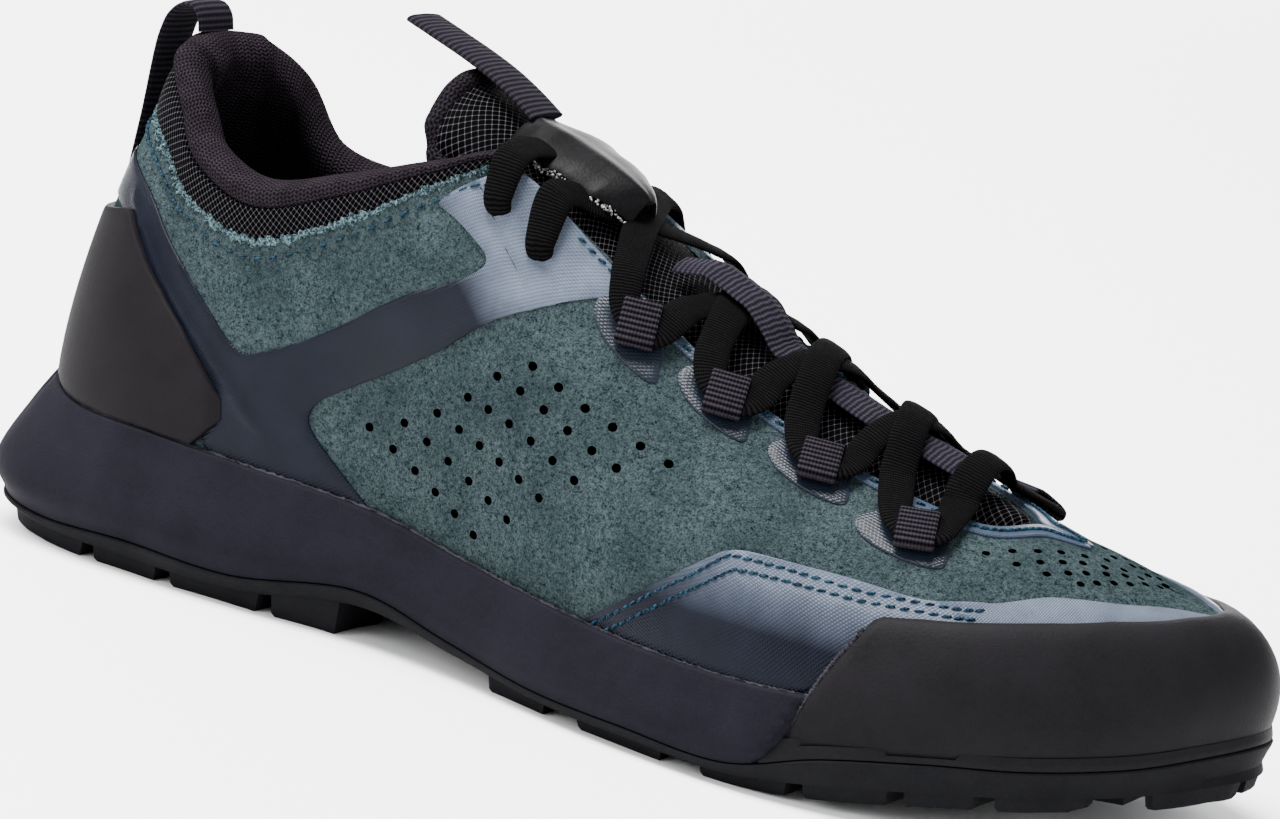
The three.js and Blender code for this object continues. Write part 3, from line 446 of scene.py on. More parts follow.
# Fine rib knit: rows of small v stitches
def makeKnit(name, stitch, base, light):
    material, shader = newMaterial(name, 1.0, Specular_IOR_Level=0.0)
    _, u, v, _ = coordinates(material)
    zig = calc(material, "PINGPONG", v, stitch)
    columns = wave(material, calc(material, "MULTIPLY_ADD", zig, 0.6, u), stitch)
    rows = wave(material, v, stitch * 1.1)
    height = calc(material, "MULTIPLY_ADD", columns, 0.3, calc(material, "MULTIPLY_ADD", rows, 0.2, 0.5))
    twoTone(material, shader, unevenly(material, height, 3.0), base, light)
    bumped(material, shader, height, 0.35)
    return material


# Woven webbing: ribs across the strap, crossed by fine warp threads
def makeWebbing(name, rib, warp, base, light, slant=0.0, depth=0.3):
    material, shader = newMaterial(name, 0.9, Specular_IOR_Level=0.01)
    _, u, v, _ = coordinates(material)
    zig = calc(material, "PINGPONG", u, warp * 2)
    ribs = wave(material, calc(material, "MULTIPLY_ADD", zig, slant, v), rib)
    threads = wave(material, u, warp)
    height = calc(material, "MULTIPLY_ADD", ribs, 0.35, calc(material, "MULTIPLY_ADD", threads, 0.12, 0.5))
    lit = unevenly(material, ramp(material, height, 0.2, 0.95), 1.2, 0.6)
    twoTone(material, shader, lit, base, light)
    bumped(material, shader, height, depth)
    return material


# Coated patch with a fine leather grain
def makeGloss(name, base, light, roughness, grain, depth):
    material, shader = newMaterial(name, roughness, Specular_IOR_Level=0.03)
    vector, *_ = coordinates(material, "Object")
    cells = noise(material, vector, grain, 2.0)
    twoTone(material, shader, ramp(material, cells, 0.3, 0.7), base, light)
    bumped(material, shader, cells, depth)
    return material


# Sewing thread and loose fibres: two shades in short lengths
def makeThread(name, base, light):
    material, shader = newMaterial(name, 0.7, Specular_IOR_Level=0.05)
    vector, *_ = coordinates(material, "Object")
    share = ramp(material, noise(material, vector, 0.5, 2.0), 0.4, 0.62)
    twoTone(material, shader, share, base, light)
    bumped(material, shader, share, 0.12)
    return material


suedeShades = {"dark": "#060f12", "light": "#3c4749", "deep": "#0d171a"}
# Painted glare on the side and forefoot films, by object heights and distances in millimetres
sideGlare = {"rise": (55, 69), "slope": 0.9, "ahead": (-64, -42), "colour": "#4d5461"}
frontGlare = {"rise": (32, 45), "slope": 0.02, "ahead": (0, 25), "colour": "#474e5b"}
finishes = {
    "suede": makeSuede(),
    "tornSuede": makeTornSuede(),
    # the side and forefoot films carry painted glare in their colour
    "film": makeFilm("laminatedFilm", "#04060d", "#0a0e1b", 0.26, 0.06, sideGlare),
    "foreFilm": makeFilm("forefootFilm", "#04060d", "#0a0e1b", 0.26, 0.06, frontGlare),
    "paleFilm": makeFilm("paleEdgeFilm", "#1e2632", "#333d4c", 0.3, 0.12),
    "padFilm": makeFilm("padFilm", "#0b0f16", "#181f2b", 0.34, 0.12),
    "foam": makeRubber("mouldedFoam", "#0b0a10", "#131219", 0.12, 0.7, 0.03),
    "outsole": makeRubber("outsoleRubber", "#0a0a0c", "#121214", 0.15, 0.75, 0.03),
    "rand": makeRubber("randRubber", "#0a0a0b", "#121013", 0.12, 0.6, 0.04),
    "shell": makeRubber("counterShell", "#0b090b", "#110f11", 0.1, 0.6, 0.04),
    "glue": makeRubber("glueLine", "#0b0a0c", "#333138", 0.2, 0.6, 0.03),
    # the meshes' light colour is painted glint on their strands
    "collarMesh": makeMesh("collarMesh", 1.6, 1.55, 0.4, "#010101", "#434146"),
    "tongueMesh": makeMesh("tongueMesh", 2.3, 1.6, 0.36, "#010101", "#434146"),
    "lining": makeKnit("ribKnit", 0.9, "#050405", "#241f24"),
    "binding": makeKnit("ribBinding", 1.0, "#040304", "#1e1b1f"),
    "insoleCloth": makeKnit("insoleCloth", 1.6, "#0a0a0c", "#222126"),
    "webbing": makeWebbing("pullWebbing", 1.3, 0.9, "#0e0c10", "#242127"),
    "loopWebbing": makeWebbing("loopWebbing", 1.2, 0.7, "#040304", "#262329", 0.0, 0.4),
    "lace": makeWebbing("laceWeave", 0.7, 0.5, "#020202", "#0e0d0e", 0.08, 0.2),
    "strip": makeWebbing("stripWebbing", 1.2, 0.8, "#0f0e12", "#28252d", 0.12),
    "patch": makeGloss("coatedPatch", "#060506", "#0c0b0c", 0.4, 0.6, 0.06),
    "thread": makeThread("blueThread", "#040b12", "#1a3646"),
    "fray": makeThread("cutFibres", "#2e2d2d", "#a5a39e"),
    # the punched holes' walls: near black, painted shade inside the holes
    "holeShade": makeRubber("paintedHoleShade", "#010101", "#020202", 0.02, 0.9, 0.0),
}
print("finishes ready")


# Meshes
def toRow(points):
    return (np.asarray(points, float) - shoe["footprintMiddle"]) * 0.001


def activate(piece):
    bpy.ops.object.select_all(action="DESELECT")
    piece.select_set(True)
    bpy.context.view_layer.objects.active = piece


def closeUp(piece, fill):
    activate(piece)
    bpy.ops.object.mode_set(mode="EDIT")
    bpy.ops.mesh.select_all(action="SELECT")
    bpy.ops.mesh.remove_doubles(threshold=0.00001)
    if fill:
        bpy.ops.mesh.fill_holes(sides=0)
        bpy.ops.mesh.select_all(action="SELECT")
    bpy.ops.mesh.normals_make_consistent(inside=False)
    bpy.ops.object.mode_set(mode="OBJECT")


def dress(piece, finish, replaced=(), angle=40):
    piece.data.materials.clear()
    piece.data.materials.append(finishes[finish])
    activate(piece)
    bpy.ops.object.shade_smooth_by_angle(angle=math.radians(angle))
    if replaced:
        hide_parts(*replaced)
    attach(piece, "root")
    return piece


# Sections that close on themselves through all the parts
def closedLoop(*parts):
    return np.concatenate([*parts, parts[0][:, :1]], 1)


def setUv(mesh, layer, uv):
    corner = np.empty(len(mesh.loops), int)
    mesh.loops.foreach_get("vertex_index", corner)
    layer.data.foreach_set("uv", uv[corner].ravel())


def meshPiece(name, points, faces):
    mesh = bpy.data.meshes.new(name)
    mesh.from_pydata([tuple(p) for p in toRow(points)], [], faces)
    piece = bpy.data.objects.new(name, mesh)
    bpy.context.scene.collection.objects.link(piece)
    return piece


# A grid primitive whose corners go to an array of points (across, up, 3), with its UVs in
# millimetres; skip marks the cells that are left out
def gridPiece(name, points, uv=None, fill=True, skip=None):
    columnCount, rowTotal = points.shape[0] - 1, points.shape[1] - 1
    bpy.ops.object.select_all(action="DESELECT")
    bpy.ops.mesh.primitive_grid_add(x_subdivisions=columnCount, y_subdivisions=rowTotal, size=2)
    piece = bpy.context.object
    piece.name = name
    piece.data.name = name
    mesh = piece.data
    co = np.empty(len(mesh.vertices) * 3)
    mesh.vertices.foreach_get("co", co)
    co = co.reshape(-1, 3)
    i = np.rint((co[:, 0] + 1) / 2 * columnCount).astype(int)
    j = np.rint((co[:, 1] + 1) / 2 * rowTotal).astype(int)
    mesh.vertices.foreach_set("co", toRow(points[i, j]).ravel())
    if uv is None:
        uv = gridUv(points)
    setUv(mesh, mesh.uv_layers[0], uv[i, j])
    if skip is not None:
        work = bmesh.new()
        work.from_mesh(mesh)
        corners = [[(i[v.index], j[v.index]) for v in f.verts] for f in work.faces]
        gone = [f for f, c in zip(work.faces[:], corners) if skip[min(c)[0], min(k for _, k in c)]]
        bmesh.ops.delete(work, geom=gone, context="FACES")
        work.to_mesh(mesh)
        work.free()
    closeUp(piece, fill)
    return piece


def gridUv(points):
    steps = [np.linalg.norm(np.diff(points, axis=k), axis=2) for k in (0, 1)]
    u = np.concatenate([np.zeros((1, points.shape[1])), np.cumsum(steps[0], 0)])
    v = np.concatenate([np.zeros((points.shape[0], 1)), np.cumsum(steps[1], 1)], 1)
    return np.stack([v, np.broadcast_to(u.mean(1, keepdims=True), v.shape)], -1)


# Sections of a strap along a line, each a rounded flat shape; normals say where its face looks
def strapSections(points, normals, widths, thicks, sides=20, square=0.35, droop=0.0):
    count = len(points)
    widths, thicks = (np.broadcast_to(value, count)[:, None, None] for value in (widths, thicks))
    tangent = unit(np.gradient(points, axis=0))
    side = unit(np.cross(tangent, normals))
    up = unit(np.cross(side, tangent))
    angle = np.linspace(0, 2 * np.pi, sides + 1)
    c, s = np.cos(angle), np.sin(angle)
    x = (np.sign(c) * np.abs(c) ** square)[None, :, None]
    y = (np.sign(s) * np.abs(s) ** 0.8)[None, :, None]
    sag = np.broadcast_to(droop, count)[:, None, None] * x * x
    return (
        points[:, None]
        + side[:, None] * x * widths / 2
        + up[:, None] * (y * thicks / 2 * (1 - 0.35 * x * x) - sag)
    )


def strap(name, finish, points, normals, width, thick, count, replaced=(), **shape):
    p = smoothLine(points, count)
    share = np.linspace(0, 1, count)
    keys = np.linspace(0, 1, len(points))
    sections = strapSections(p, rowsAt(share, keys, normals), width, thick, **shape)
    return dress(gridPiece(name, sections), finish, replaced)


# Copies a small piece to many places; each frame is a place and the piece's axes, in millimetres
def scattered(name, base, frames):
    co = np.array([tuple(v.co) for v in base.data.vertices])
    faces = [list(p.vertices) for p in base.data.polygons]
    bpy.data.objects.remove(base)
    points = np.vstack([place + co @ np.asarray(axes) for place, axes in frames])
    every = [[k * len(co) + i for i in f] for k in range(len(frames)) for f in faces]
    return meshPiece(name, points, every)


def smallBall(segments=8, rings=5):
    bpy.ops.object.select_all(action="DESELECT")
    bpy.ops.mesh.primitive_uv_sphere_add(segments=segments, ring_count=rings, radius=1)
    return bpy.context.object


# Stitches along lines of points with their normals; pitch is from one stitch to the next
def stitches(name, lines, pitch, long, wide, high, lean):
    frames = []
    for points, normals in lines:
        count = max(2, int(lengthsAlong(points)[-1] / pitch))
        keys = np.linspace(0, 1, len(points))
        at = (np.arange(count) + 0.5) / count
        here, up = rowsAt(at, keys, points), unit(rowsAt(at, keys, normals))
        way = unit(np.gradient(here, axis=0))
        tilted = unit(way + unit(np.cross(up, way)) * lean)
        for p, a, b, n in zip(here, tilted, unit(np.cross(up, tilted)), up):
            frames.append((p, [a * long / 2, b * wide / 2, n * high]))
    return dress(scattered(name, smallBall(), frames), "thread", [], 80)


# A smooth line at a height over the upper, on the outer side (-1) or mirrored to the inner side (1)
def lineOn(corners, out, side):
    t, v = smoothLine(corners, 200).T
    t = t if side < 0 else rowCount - t
    return face(t, v, out), faceNormal(t, v)


# Camera: the photograph's view, worked out from the shoe's known points
view = {
    "place": (0.580766, -0.990853, 0.297485),
    "right": (0.83593, 0.52685, 0.15376),
    "up": (-0.23835, 0.09614, 0.96641),
    "back": (0.49437, -0.84450, 0.20594),
    "lens": 160.51,
}
camera = bpy.data.cameras.new("camera")
camera.lens = view["lens"]
camera.sensor_width = 36
camera.sensor_fit = "HORIZONTAL"
camera.clip_start, camera.clip_end = 0.05, 50
cameraObject = bpy.data.objects.new("camera", camera)
bpy.context.scene.collection.objects.link(cameraObject)
axes = Matrix([view["right"], view["up"], view["back"]]).transposed()
cameraObject.matrix_world = Matrix.Translation(view["place"]) @ axes.to_4x4()
bpy.context.scene.camera = cameraObject


# Points between the corners of many chains at once; chains is an array (stations, corners, 3)
def throughChains(chains, steps):
    before, after = 2 * chains[:, :1] - chains[:, 1:2], 2 * chains[:, -1:] - chains[:, -2:-1]
    p = np.concatenate([before, chains, after], 1)
    fine = []
    for k in range(1, p.shape[1] - 2):
        corners = [p[:, k + s] for s in (-1, 0, 1, 2)]
        fine += [curvePoint(*corners, f) for f in np.linspace(0, 1, steps, endpoint=False)]
    return np.stack(fine + [p[:, -2]], 1)


# Sections across the sole from the heel to the toe: up the outer side, over, down the inner side
def crossSections(chainAt, steps, overCount):
    t = np.linspace(0, toeRow, steps)
    outerSide, innerSide = chainAt(t), chainAt(rowCount - t)
    shares = np.linspace(0, 1, overCount)
    over = [outerSide[:, -1] * (1 - s) + innerSide[:, -1] * s for s in shares[1:-1]]
    under = [innerSide[:, 0] * (1 - s) + outerSide[:, 0] * s for s in shares[1:]]
    return np.concatenate([outerSide, np.stack(over, 1), innerSide[:, ::-1], np.stack(under, 1)], 1)


# Shares up a sheet, closer together where its foot and top are rounded, and how far its face falls
# back at each of them
def edgeShares(sheet):
    low, lowBack = zip(*sheet["footEdge"])
    high, highBack = zip(*sheet["topEdge"])
    middle = np.linspace(*sheet["between"])
    back = np.concatenate([lowBack, np.zeros(len(middle)), highBack])
    return np.concatenate([low, middle, high])[None, :], back[None, :]


# Toe rand: rubber over the toe, from the sole's edge up on to the vamp
rand = {
    "thick": 2.6,
    "lip": 1.7,
    "start": 10.35,
    "lean": 1.1,
    "foot": 0.2,
    "buried": -0.5,
    "steps": 150,
    "footEdge": [(0, 0.35), (0.015, 0.1), (0.05, 0)],
    "between": (0.1, 0.93, 15),
    "topEdge": [(0.965, 0.02), (0.99, 0.18), (1.0, 0.6)],
    "top": runOf([
        (11.3, 33.8), (11.5, 35.4), (11.8, 36.4), (12.4, 37.8), (13.7, 40.4), (15, 41.6), (16, 42),
    ]),
}


def randHeight(t):
    return above(rand["top"](toOuterSide(t)))


def randPlace(a, b, grow=0.0):
    start = rand["start"] + rand["lean"] * b - grow / 12
    t = start + (rowCount - 2 * start) * a
    low = seamZ(t) + gap
    return t, heightToV(t, low + (randHeight(t) + grow - low) * b)


# How far out the rand's face stands at a share b of its height
def randOut(t, b):
    foot = inset(t) - bandIn(t) - rand["foot"]
    f = np.minimum(1, b / 0.72)
    plain = rand["thick"] + (foot - rand["thick"]) * (1 - f) ** 1.5
    return plain - (rand["thick"] - rand["lip"]) * np.clip((b - 0.86) / 0.14, 0, 1) ** 2


# How far the sole's edge is set in under the rand
def bandIn(t):
    return np.interp(toOuterSide(t), [10.4, 12.0, 15.0, 16.0], [0, 0.5, 1.3, 1.5])


def makeRand():
    a = np.linspace(0, 1, rand["steps"])[:, None]
    b, edge = edgeShares(rand)
    ends = np.clip(np.minimum(a, 1 - a) / 0.006, 0, 1)
    t, v = randPlace(a, b)
    outer = face(t, v, randOut(t, b) - edge - 0.6 * (1 - ends) ** 2)
    points = closedLoop(outer, face(t, v, rand["buried"])[:, ::-1])
    return dress(gridPiece("toe_rand", points), "rand", ["toe_cap"])


makeRand()
print("toe rand ready")


# Midsole: a foam cup with a bulging heel and a thin rim round the upper
midsole = {
    "belly": around([2.4, 2.4, 2.2, 1.8, 1.2, 0.8, 0.6, 0.5, 0.4, 0.3, 0.2, 0, 0, 0, 0, 0, 0]),
    "rimThick": 2.0,
    "underRand": 2.4,
    "steps": 161,
    # share of the rim's thickness, and millimetres below its top
    "crown": [(0.93, 0.25), (0.72, 0.02), (0.4, 0.0), (0.1, 0.3)],
}


def midsoleChain(t):
    seam, rim = seamZ(t) + gap, rimZ(t)
    rise = rim - seam
    v = heightToV(t, rim)
    thick = midsole["rimThick"]
    low = outline(t, -0.6, seam)
    wide = outline(t, midsole["belly"](t), seam + rise * 0.25)
    rimOuter = face(t, v, gap + thick)
    rimOuter[:, 2] = rim - 0.7
    slope = (wide + rimOuter) / 2
    slope[:, 2] = seam + rise * 0.66
    side = throughChains(np.stack([low, wide, slope, rimOuter], 1), 6)
    crown = []
    for share, drop in midsole["crown"]:
        p = face(t, v, gap + thick * share)
        p[:, 2] = rim - drop
        crown.append(p)
    inner = [face(t, v / 2, 0.1), outline(t, -inset(t) + gap, bedZ(t))]
    chain = np.concatenate([outline(t, -3.0, seam)[:, None], side, np.stack(crown + inner, 1)], 1)
    # steps in where the rand lies over it
    share = (chain[..., 2] - seam[:, None]) / (randHeight(t) - seam)[:, None]
    inside = toOuterSide(t)[:, None] - rand["start"] - rand["lean"] * np.clip(share, 0, 1)
    step = np.clip(inside / 0.06, 0, 1) * midsole["underRand"]
    step[:, -2:] = 0
    step[:, 0] = 0
    return chain - outward(t)[:, None] * column(step)


def makeMidsole():
    sections = crossSections(midsoleChain, midsole["steps"], 5)
    return dress(gridPiece("midsole_foam", sections), "foam", ["midsole"], 50)


makeMidsole()
print("midsole ready")

# Outsole: a rubber band under the seam, a plate, and blocks of tread
tread = {
    "steps": 161,
    "split": 13.0,
    "splitGap": 4.0,
    "skew": 5.0,
    "bevel": 0.8,
    "draft": 0.7,
    "edge": -2.9,
    "inPlate": 0.9,
    "least": 3,
    "rows": [
        (2.5, 12.0), (13.0, 19.0), (20.2, 28.0), (29.0, 34.6), (48.8, 54.5), (57.6, 65.3),
        (68.5, 75.2), (76.3, 82.0), (83.0, 87.2), (88.3, 92.5), (93.6, 98.5),
    ],
}


def bandChain(t):
    seam, plate, less = seamZ(t), plateZ(t), bandIn(t)
    points = [
        outline(t, -4.5, plate + 0.4),
        outline(t, -3.4, plate),
        outline(t, -2.4, plate + 0.25),
        outline(t, -1.6 - less, plate + (seam - plate) * 0.3),
        outline(t, -0.9 - less, plate + (seam - plate) * 0.62),
        outline(t, -0.25 - less, seam - 0.9),
        outline(t, -0.15 - less, seam - 0.3),
        outline(t, -0.4 - less, seam),
        outline(t, -3.0, seam),
    ]
    return np.stack(points, 1)


def edgeAt(out):
    t = np.linspace(0, toeRow, 400)
    outerSide, innerSide = outline(t, out, 0.0), outline(rowCount - t, out, 0.0)

    def limits(x):
        inside = (x > outerSide[:, 0].min()) & (x < outerSide[:, 0].max())
        low = np.interp(x, outerSide[:, 0], outerSide[:, 1])
        high = np.interp(x, innerSide[:, 0], innerSide[:, 1])
        return inside, low, high

    return limits


# One block of tread from its outline in plan
def addBlock(work, plan, top, bottom):
    centre = plan.mean(0)
    rings = []
    for z, grow in ((top, 0.0), (None, tread["draft"]), (bottom, tread["draft"] + tread["bevel"])):
        toward = unit(centre - plan)
        ring = plan + toward * grow
        height = z(ring) if z else bottom(ring) + tread["bevel"]
        co = toRow(np.column_stack([ring, height]))
        rings.append([work.verts.new(p) for p in co])
    count = len(plan)
    for a, b in zip(rings, rings[1:]):
        for k in range(count):
            work.faces.new([a[k], a[(k + 1) % count], b[(k + 1) % count], b[k]])
    work.faces.new(rings[2])
    work.faces.new(rings[0][::-1])


def treadHeights():
    t = np.linspace(0, toeRow, 300)
    x, under, plate = outlineX(t), np.maximum(0, treadCurve(t)), plateZ(t)
    return (
        lambda plan: np.interp(plan[:, 0], x, under),
        lambda plan: np.interp(plan[:, 0], x, plate) + tread["inPlate"],
    )


# A block's outline between two places along the sole, at its outer edge (-1), its middle or its
# inner edge (1)
def blockPlan(start, stop, side, limits):
    lead, less = (0, 0) if side else (tread["skew"], 1)
    x = np.linspace(along(start) + lead, along(stop) + lead - less, 9)
    inside, low, high = limits(x)
    near = tread["split"] + tread["splitGap"] / 2 * (1 if side else -1)
    a = np.maximum(low, {-1: -np.inf, 0: -near, 1: near}[side])
    b = np.minimum(high, {-1: -near, 0: near, 1: np.inf}[side])
    keep = inside & (b - a > tread["least"])
    if keep.sum() < 3:
        return None
    x, a, b = x[keep], a[keep], b[keep]
    shift = np.linspace(0, 1, 5)[1:-1]
    plan = list(zip(x, a))
    plan += [(x[-1], a[-1] + (b[-1] - a[-1]) * s) for s in shift]
    plan += list(zip(x, b))[::-1]
    plan += [(x[0], b[0] + (a[0] - b[0]) * s) for s in shift]
    return np.array(plan)


def makeOutsole():
    piece = gridPiece("outsole_rubber", crossSections(bandChain, tread["steps"], 5))
    bottom, top = treadHeights()
    limits = edgeAt(tread["edge"])
    work = bmesh.new()
    work.from_mesh(piece.data)
    for start, stop in tread["rows"]:
        for side in (-1, 0, 1):
            plan = blockPlan(start, stop, side, limits)
            if plan is not None:
                addBlock(work, plan, top, bottom)
    work.to_mesh(piece.data)
    work.free()
    closeUp(piece, False)
    return dress(piece, "outsole", ["outsole"], 35)


makeOutsole()
print("outsole ready")

# Thin rough lines of glue where the rand and the rim meet what they cover
glue = {"rough": 0.5, "rimRadius": 0.38, "rimEnd": 10.9, "randRadius": 0.42, "randShare": 0.72}


# Directions round a line: from its normals towards its other side and back
def ringAround(n, up, sides):
    angle = np.linspace(0, 2 * np.pi, sides + 1)
    return np.cos(angle)[None, :, None] * n[:, None] + np.sin(angle)[None, :, None] * up[:, None]


def bead(name, line, n, radius, seed):
    random = np.random.default_rng(seed)
    up = unit(np.cross(unit(np.gradient(line, axis=0)), n))
    size = radius * (1 + glue["rough"] * random.uniform(-1, 1, (len(line), 7)))
    size[:, -1] = size[:, 0]
    return dress(gridPiece(name, line[:, None] + ringAround(n, up, 6) * size[..., None]), "glue", [], 60)


def makeGlueLines():
    t = np.linspace(-glue["rimEnd"], glue["rimEnd"], 700)
    line = face(t, heightToV(t, rimZ(t)), gap + 0.5)
    line[:, 2] = rimZ(t) - 0.05
    bead("rim_line", line, faceNormal(t, 0.1), glue["rimRadius"], 3)
    b = np.linspace(0.02, 0.93, 160)
    start, v = randPlace(0.0, b)
    for word, t in (("outer", start - 0.012), ("inner", rowCount - start + 0.012)):
        line = face(t, v, randOut(t, b) * glue["randShare"])
        bead("rand_line_" + word, line, faceNormal(t, v), glue["randRadius"], 5)


makeGlueLines()

# Insole: a cloth-covered footbed
insole = {"thick": 4.5, "clear": 0.5, "steps": 121}


def insoleChain(t):
    out = -inset(t) - wall - insole["clear"]
    foot = bedZ(t) + gap
    heights = [(0.0, 0.0), (0.0, 0.6), (-0.2, 0.9), (-0.8, 1.0), (-3.0, 1.0), (-8.0, 0.97)]
    return np.stack([outline(t, out + o, foot + insole["thick"] * h) for o, h in heights], 1)


insolePiece = gridPiece("insole_bed", crossSections(insoleChain, insole["steps"], 9))
dress(insolePiece, "insoleCloth", ["insole"], 60)

# Upper: one suede shell with an inner wall, open at the collar, throat and underneath
upper = {
    "steps": 320,
    "levels": 34,
    "edgeDrop": around(above([13, 13, 13, 12.4, 11.8, 11.2, 8.8, 4.6, 1.9, 0, 0, 0, 0, 0, 0, 0, 0])),
}


def upperTop(t):
    drop = upper["edgeDrop"](t)
    return np.where(drop < 0.05, 1.0, heightToV(t, topPoint(t)[..., 2] - drop))


def makeUpper():
    t = np.linspace(0, rowCount, upper["steps"] + 1)
    top = upperTop(t)[:, None]
    share = np.linspace(0, 1, upper["levels"])[None, :]
    v = top * share
    out = np.zeros(v.shape)
    free = column(~onRidge(t) & (t > 0)).astype(float)
    out[:, -2:] -= np.array([0.1, 0.45])[None, :] * free
    outerSide = face(t[:, None], v, out)
    points = closedLoop(outerSide, face(t[:, None], v[:, ::-1], -wall))
    ridge = onRidge(t)
    skip = np.zeros((len(t) - 1, points.shape[1] - 1), bool)
    skip[:, upper["levels"] - 1] = ridge[:-1] & ridge[1:]
    uv = surfaceUv(t[:, None], v)
    piece = gridPiece("upper_suede", points, closedLoop(uv, uv[:, ::-1]), fill=False, skip=skip)
    return dress(piece, "suede", ["upper"], 50)


# Punched holes: six rows of six on each side, and four rows on each side of the toe
holes = {
    "radius": 0.95,
    "deep": 1.5,
    "oval": 1.15,
    "sideCount": 6,
    "toeRadius": 0.75,
    "toe": [
        (12.2, 0.827), (12.49, 0.84), (12.82, 0.831), (13.14, 0.85), (13.52, 0.89), (14.0, 0.955),
        (12.56, 0.769), (12.85, 0.774), (13.14, 0.796), (13.44, 0.834), (13.82, 0.875), (14.3, 0.933),
        (12.93, 0.72), (13.2, 0.748), (13.45, 0.78), (13.78, 0.825), (14.2, 0.88), (14.72, 0.939),
        (13.35, 0.713), (13.58, 0.747), (13.86, 0.786), (14.19, 0.824), (14.65, 0.885), (15.23, 0.943),
    ],
}


def sideHoles():
    rows = []
    for i in range(holes["sideCount"]):
        for j in range(holes["sideCount"]):
            t = 6.075 + 0.2234 * i + 0.3938 * j + 0.0143 * i * j - 0.0034 * i * i + 0.0114 * j * j
            v = 0.3654 - 0.0406 * i + 0.0262 * j + 0.0081 * i * j + 0.0008 * i * i + 0.0036 * j * j
            rows.append((t, v))
    return rows


def punch(piece):
    frames = []
    for places, radius in ((sideHoles(), holes["radius"]), (holes["toe"], holes["toeRadius"])):
        for t, v in places:
            for side in (t, rowCount - t):
                n = faceNormal(side, v)
                way = unit(lastPoint(side + 0.02, v) - lastPoint(side - 0.02, v))
                axes = [way * radius * holes["oval"], unit(np.cross(n, way)) * radius, n * holes["deep"]]
                frames.append((face(side, v, 0.0), axes))
    bpy.ops.object.select_all(action="DESELECT")
    bpy.ops.mesh.primitive_cylinder_add(vertices=12, radius=1, depth=2)
    tool = scattered("punches", bpy.context.object, frames)
    # the cut walls take the near-black painted shade of the holes' insides
    tool.data.materials.append(finishes["holeShade"])
    closeUp(tool, False)
    activate(piece)
    cut = piece.modifiers.new("punched", "BOOLEAN")
    cut.operation, cut.solver, cut.object, cut.material_mode = "DIFFERENCE", "EXACT", tool, "TRANSFER"
    bpy.ops.object.modifier_apply(modifier=cut.name)
    bpy.data.objects.remove(tool)
    print("holes", len(frames), "faces", len(piece.data.polygons))


punch(makeUpper())


# The torn edge round the collar: a rough roll of fibres
torn = {"radius": 0.8, "rough": 0.42, "end": 8.2, "sunk": -0.7, "steps": 900, "sides": 9, "seed": 11}


def makeTornEdge():
    t = np.linspace(-torn["end"], torn["end"], torn["steps"])
    v = upperTop(t)
    line = face(t, v, torn["sunk"])
    n = faceNormal(t, np.minimum(v, 0.97))
    up = unit(np.cross(unit(np.gradient(line, axis=0)), n))
    up *= np.sign(up[:, 2:])
    random = np.random.default_rng(torn["seed"])
    rough = random.normal(0, 1, (torn["steps"], torn["sides"]))
    rough = rough + np.roll(rough, 1, 0)
    rough = np.concatenate([rough, rough[:, :1]], 1) * torn["rough"] * 0.6
    keys = np.arange(0, torn["steps"] + 9, 9)
    slow = np.interp(np.arange(torn["steps"]), keys, random.normal(0, 0.35, len(keys)))
    radius = torn["radius"] * (1 + 0.5 * slow[:, None]) + rough
    radius = np.clip(radius, 0.25, 2.0)[..., None]
    points = line[:, None] + radius * ringAround(n, up * 1.25, torn["sides"])
    return dress(gridPiece("torn_edge", points), "tornSuede", [], 70)


makeTornEdge()

# Stitches in millimetres: from one to the next, how long, wide and high, and how far they lean
seams = {
    "collar": {"pitch": 3.0, "long": 2.4, "wide": 0.6, "high": 0.4, "lean": 0.12},
    "forefoot": {"pitch": 2.35, "long": 2.2, "wide": 0.75, "high": 0.5, "lean": 0.18},
    "throat": {"pitch": 2.6, "long": 2.1, "wide": 0.7, "high": 0.45, "lean": 0.25},
}


def collarSeam():
    t = np.linspace(-7.9, 7.9, 400)
    v = heightToV(t, topPoint(t)[:, 2] - upper["edgeDrop"](t) - 3.4)
    return face(t, v, 0.2), faceNormal(t, v)


stitches("collar_stitches", [collarSeam()], **seams["collar"])
print("upper ready")


# Even-odd test of many points against a closed outline
def insideOf(points, ring):
    x, y = points[:, 0], points[:, 1]
    inside = np.zeros(len(points), bool)
    for (x0, y0), (x1, y1) in zip(ring, np.roll(ring, -1, 0)):
        crosses = (y0 > y) != (y1 > y)
        with np.errstate(divide="ignore", invalid="ignore"):
            inside ^= crosses & (x < (x1 - x0) * (y - y0) / (y1 - y0) + x0)
    return inside


# Rounds the corners of a closed outline
def rounded(corners, times=2):
    p = np.asarray(corners, float)
    for _ in range(times):
        following = np.roll(p, -1, 0)
        p = np.stack([0.78 * p + 0.22 * following, 0.22 * p + 0.78 * following], 1).reshape(-1, 2)
    return p


# An overlay cut to an outline in (t, v): its edges turn down on to the upper. relief adds to its
# height, and step is the distance between its points
overlay = {"tUnit": 17.0, "vUnit": 85.0, "buried": -0.35, "roll": 0.3}


def plane(t, v):
    return np.stack([np.asarray(t) * overlay["tUnit"], np.asarray(v) * overlay["vUnit"]], -1)


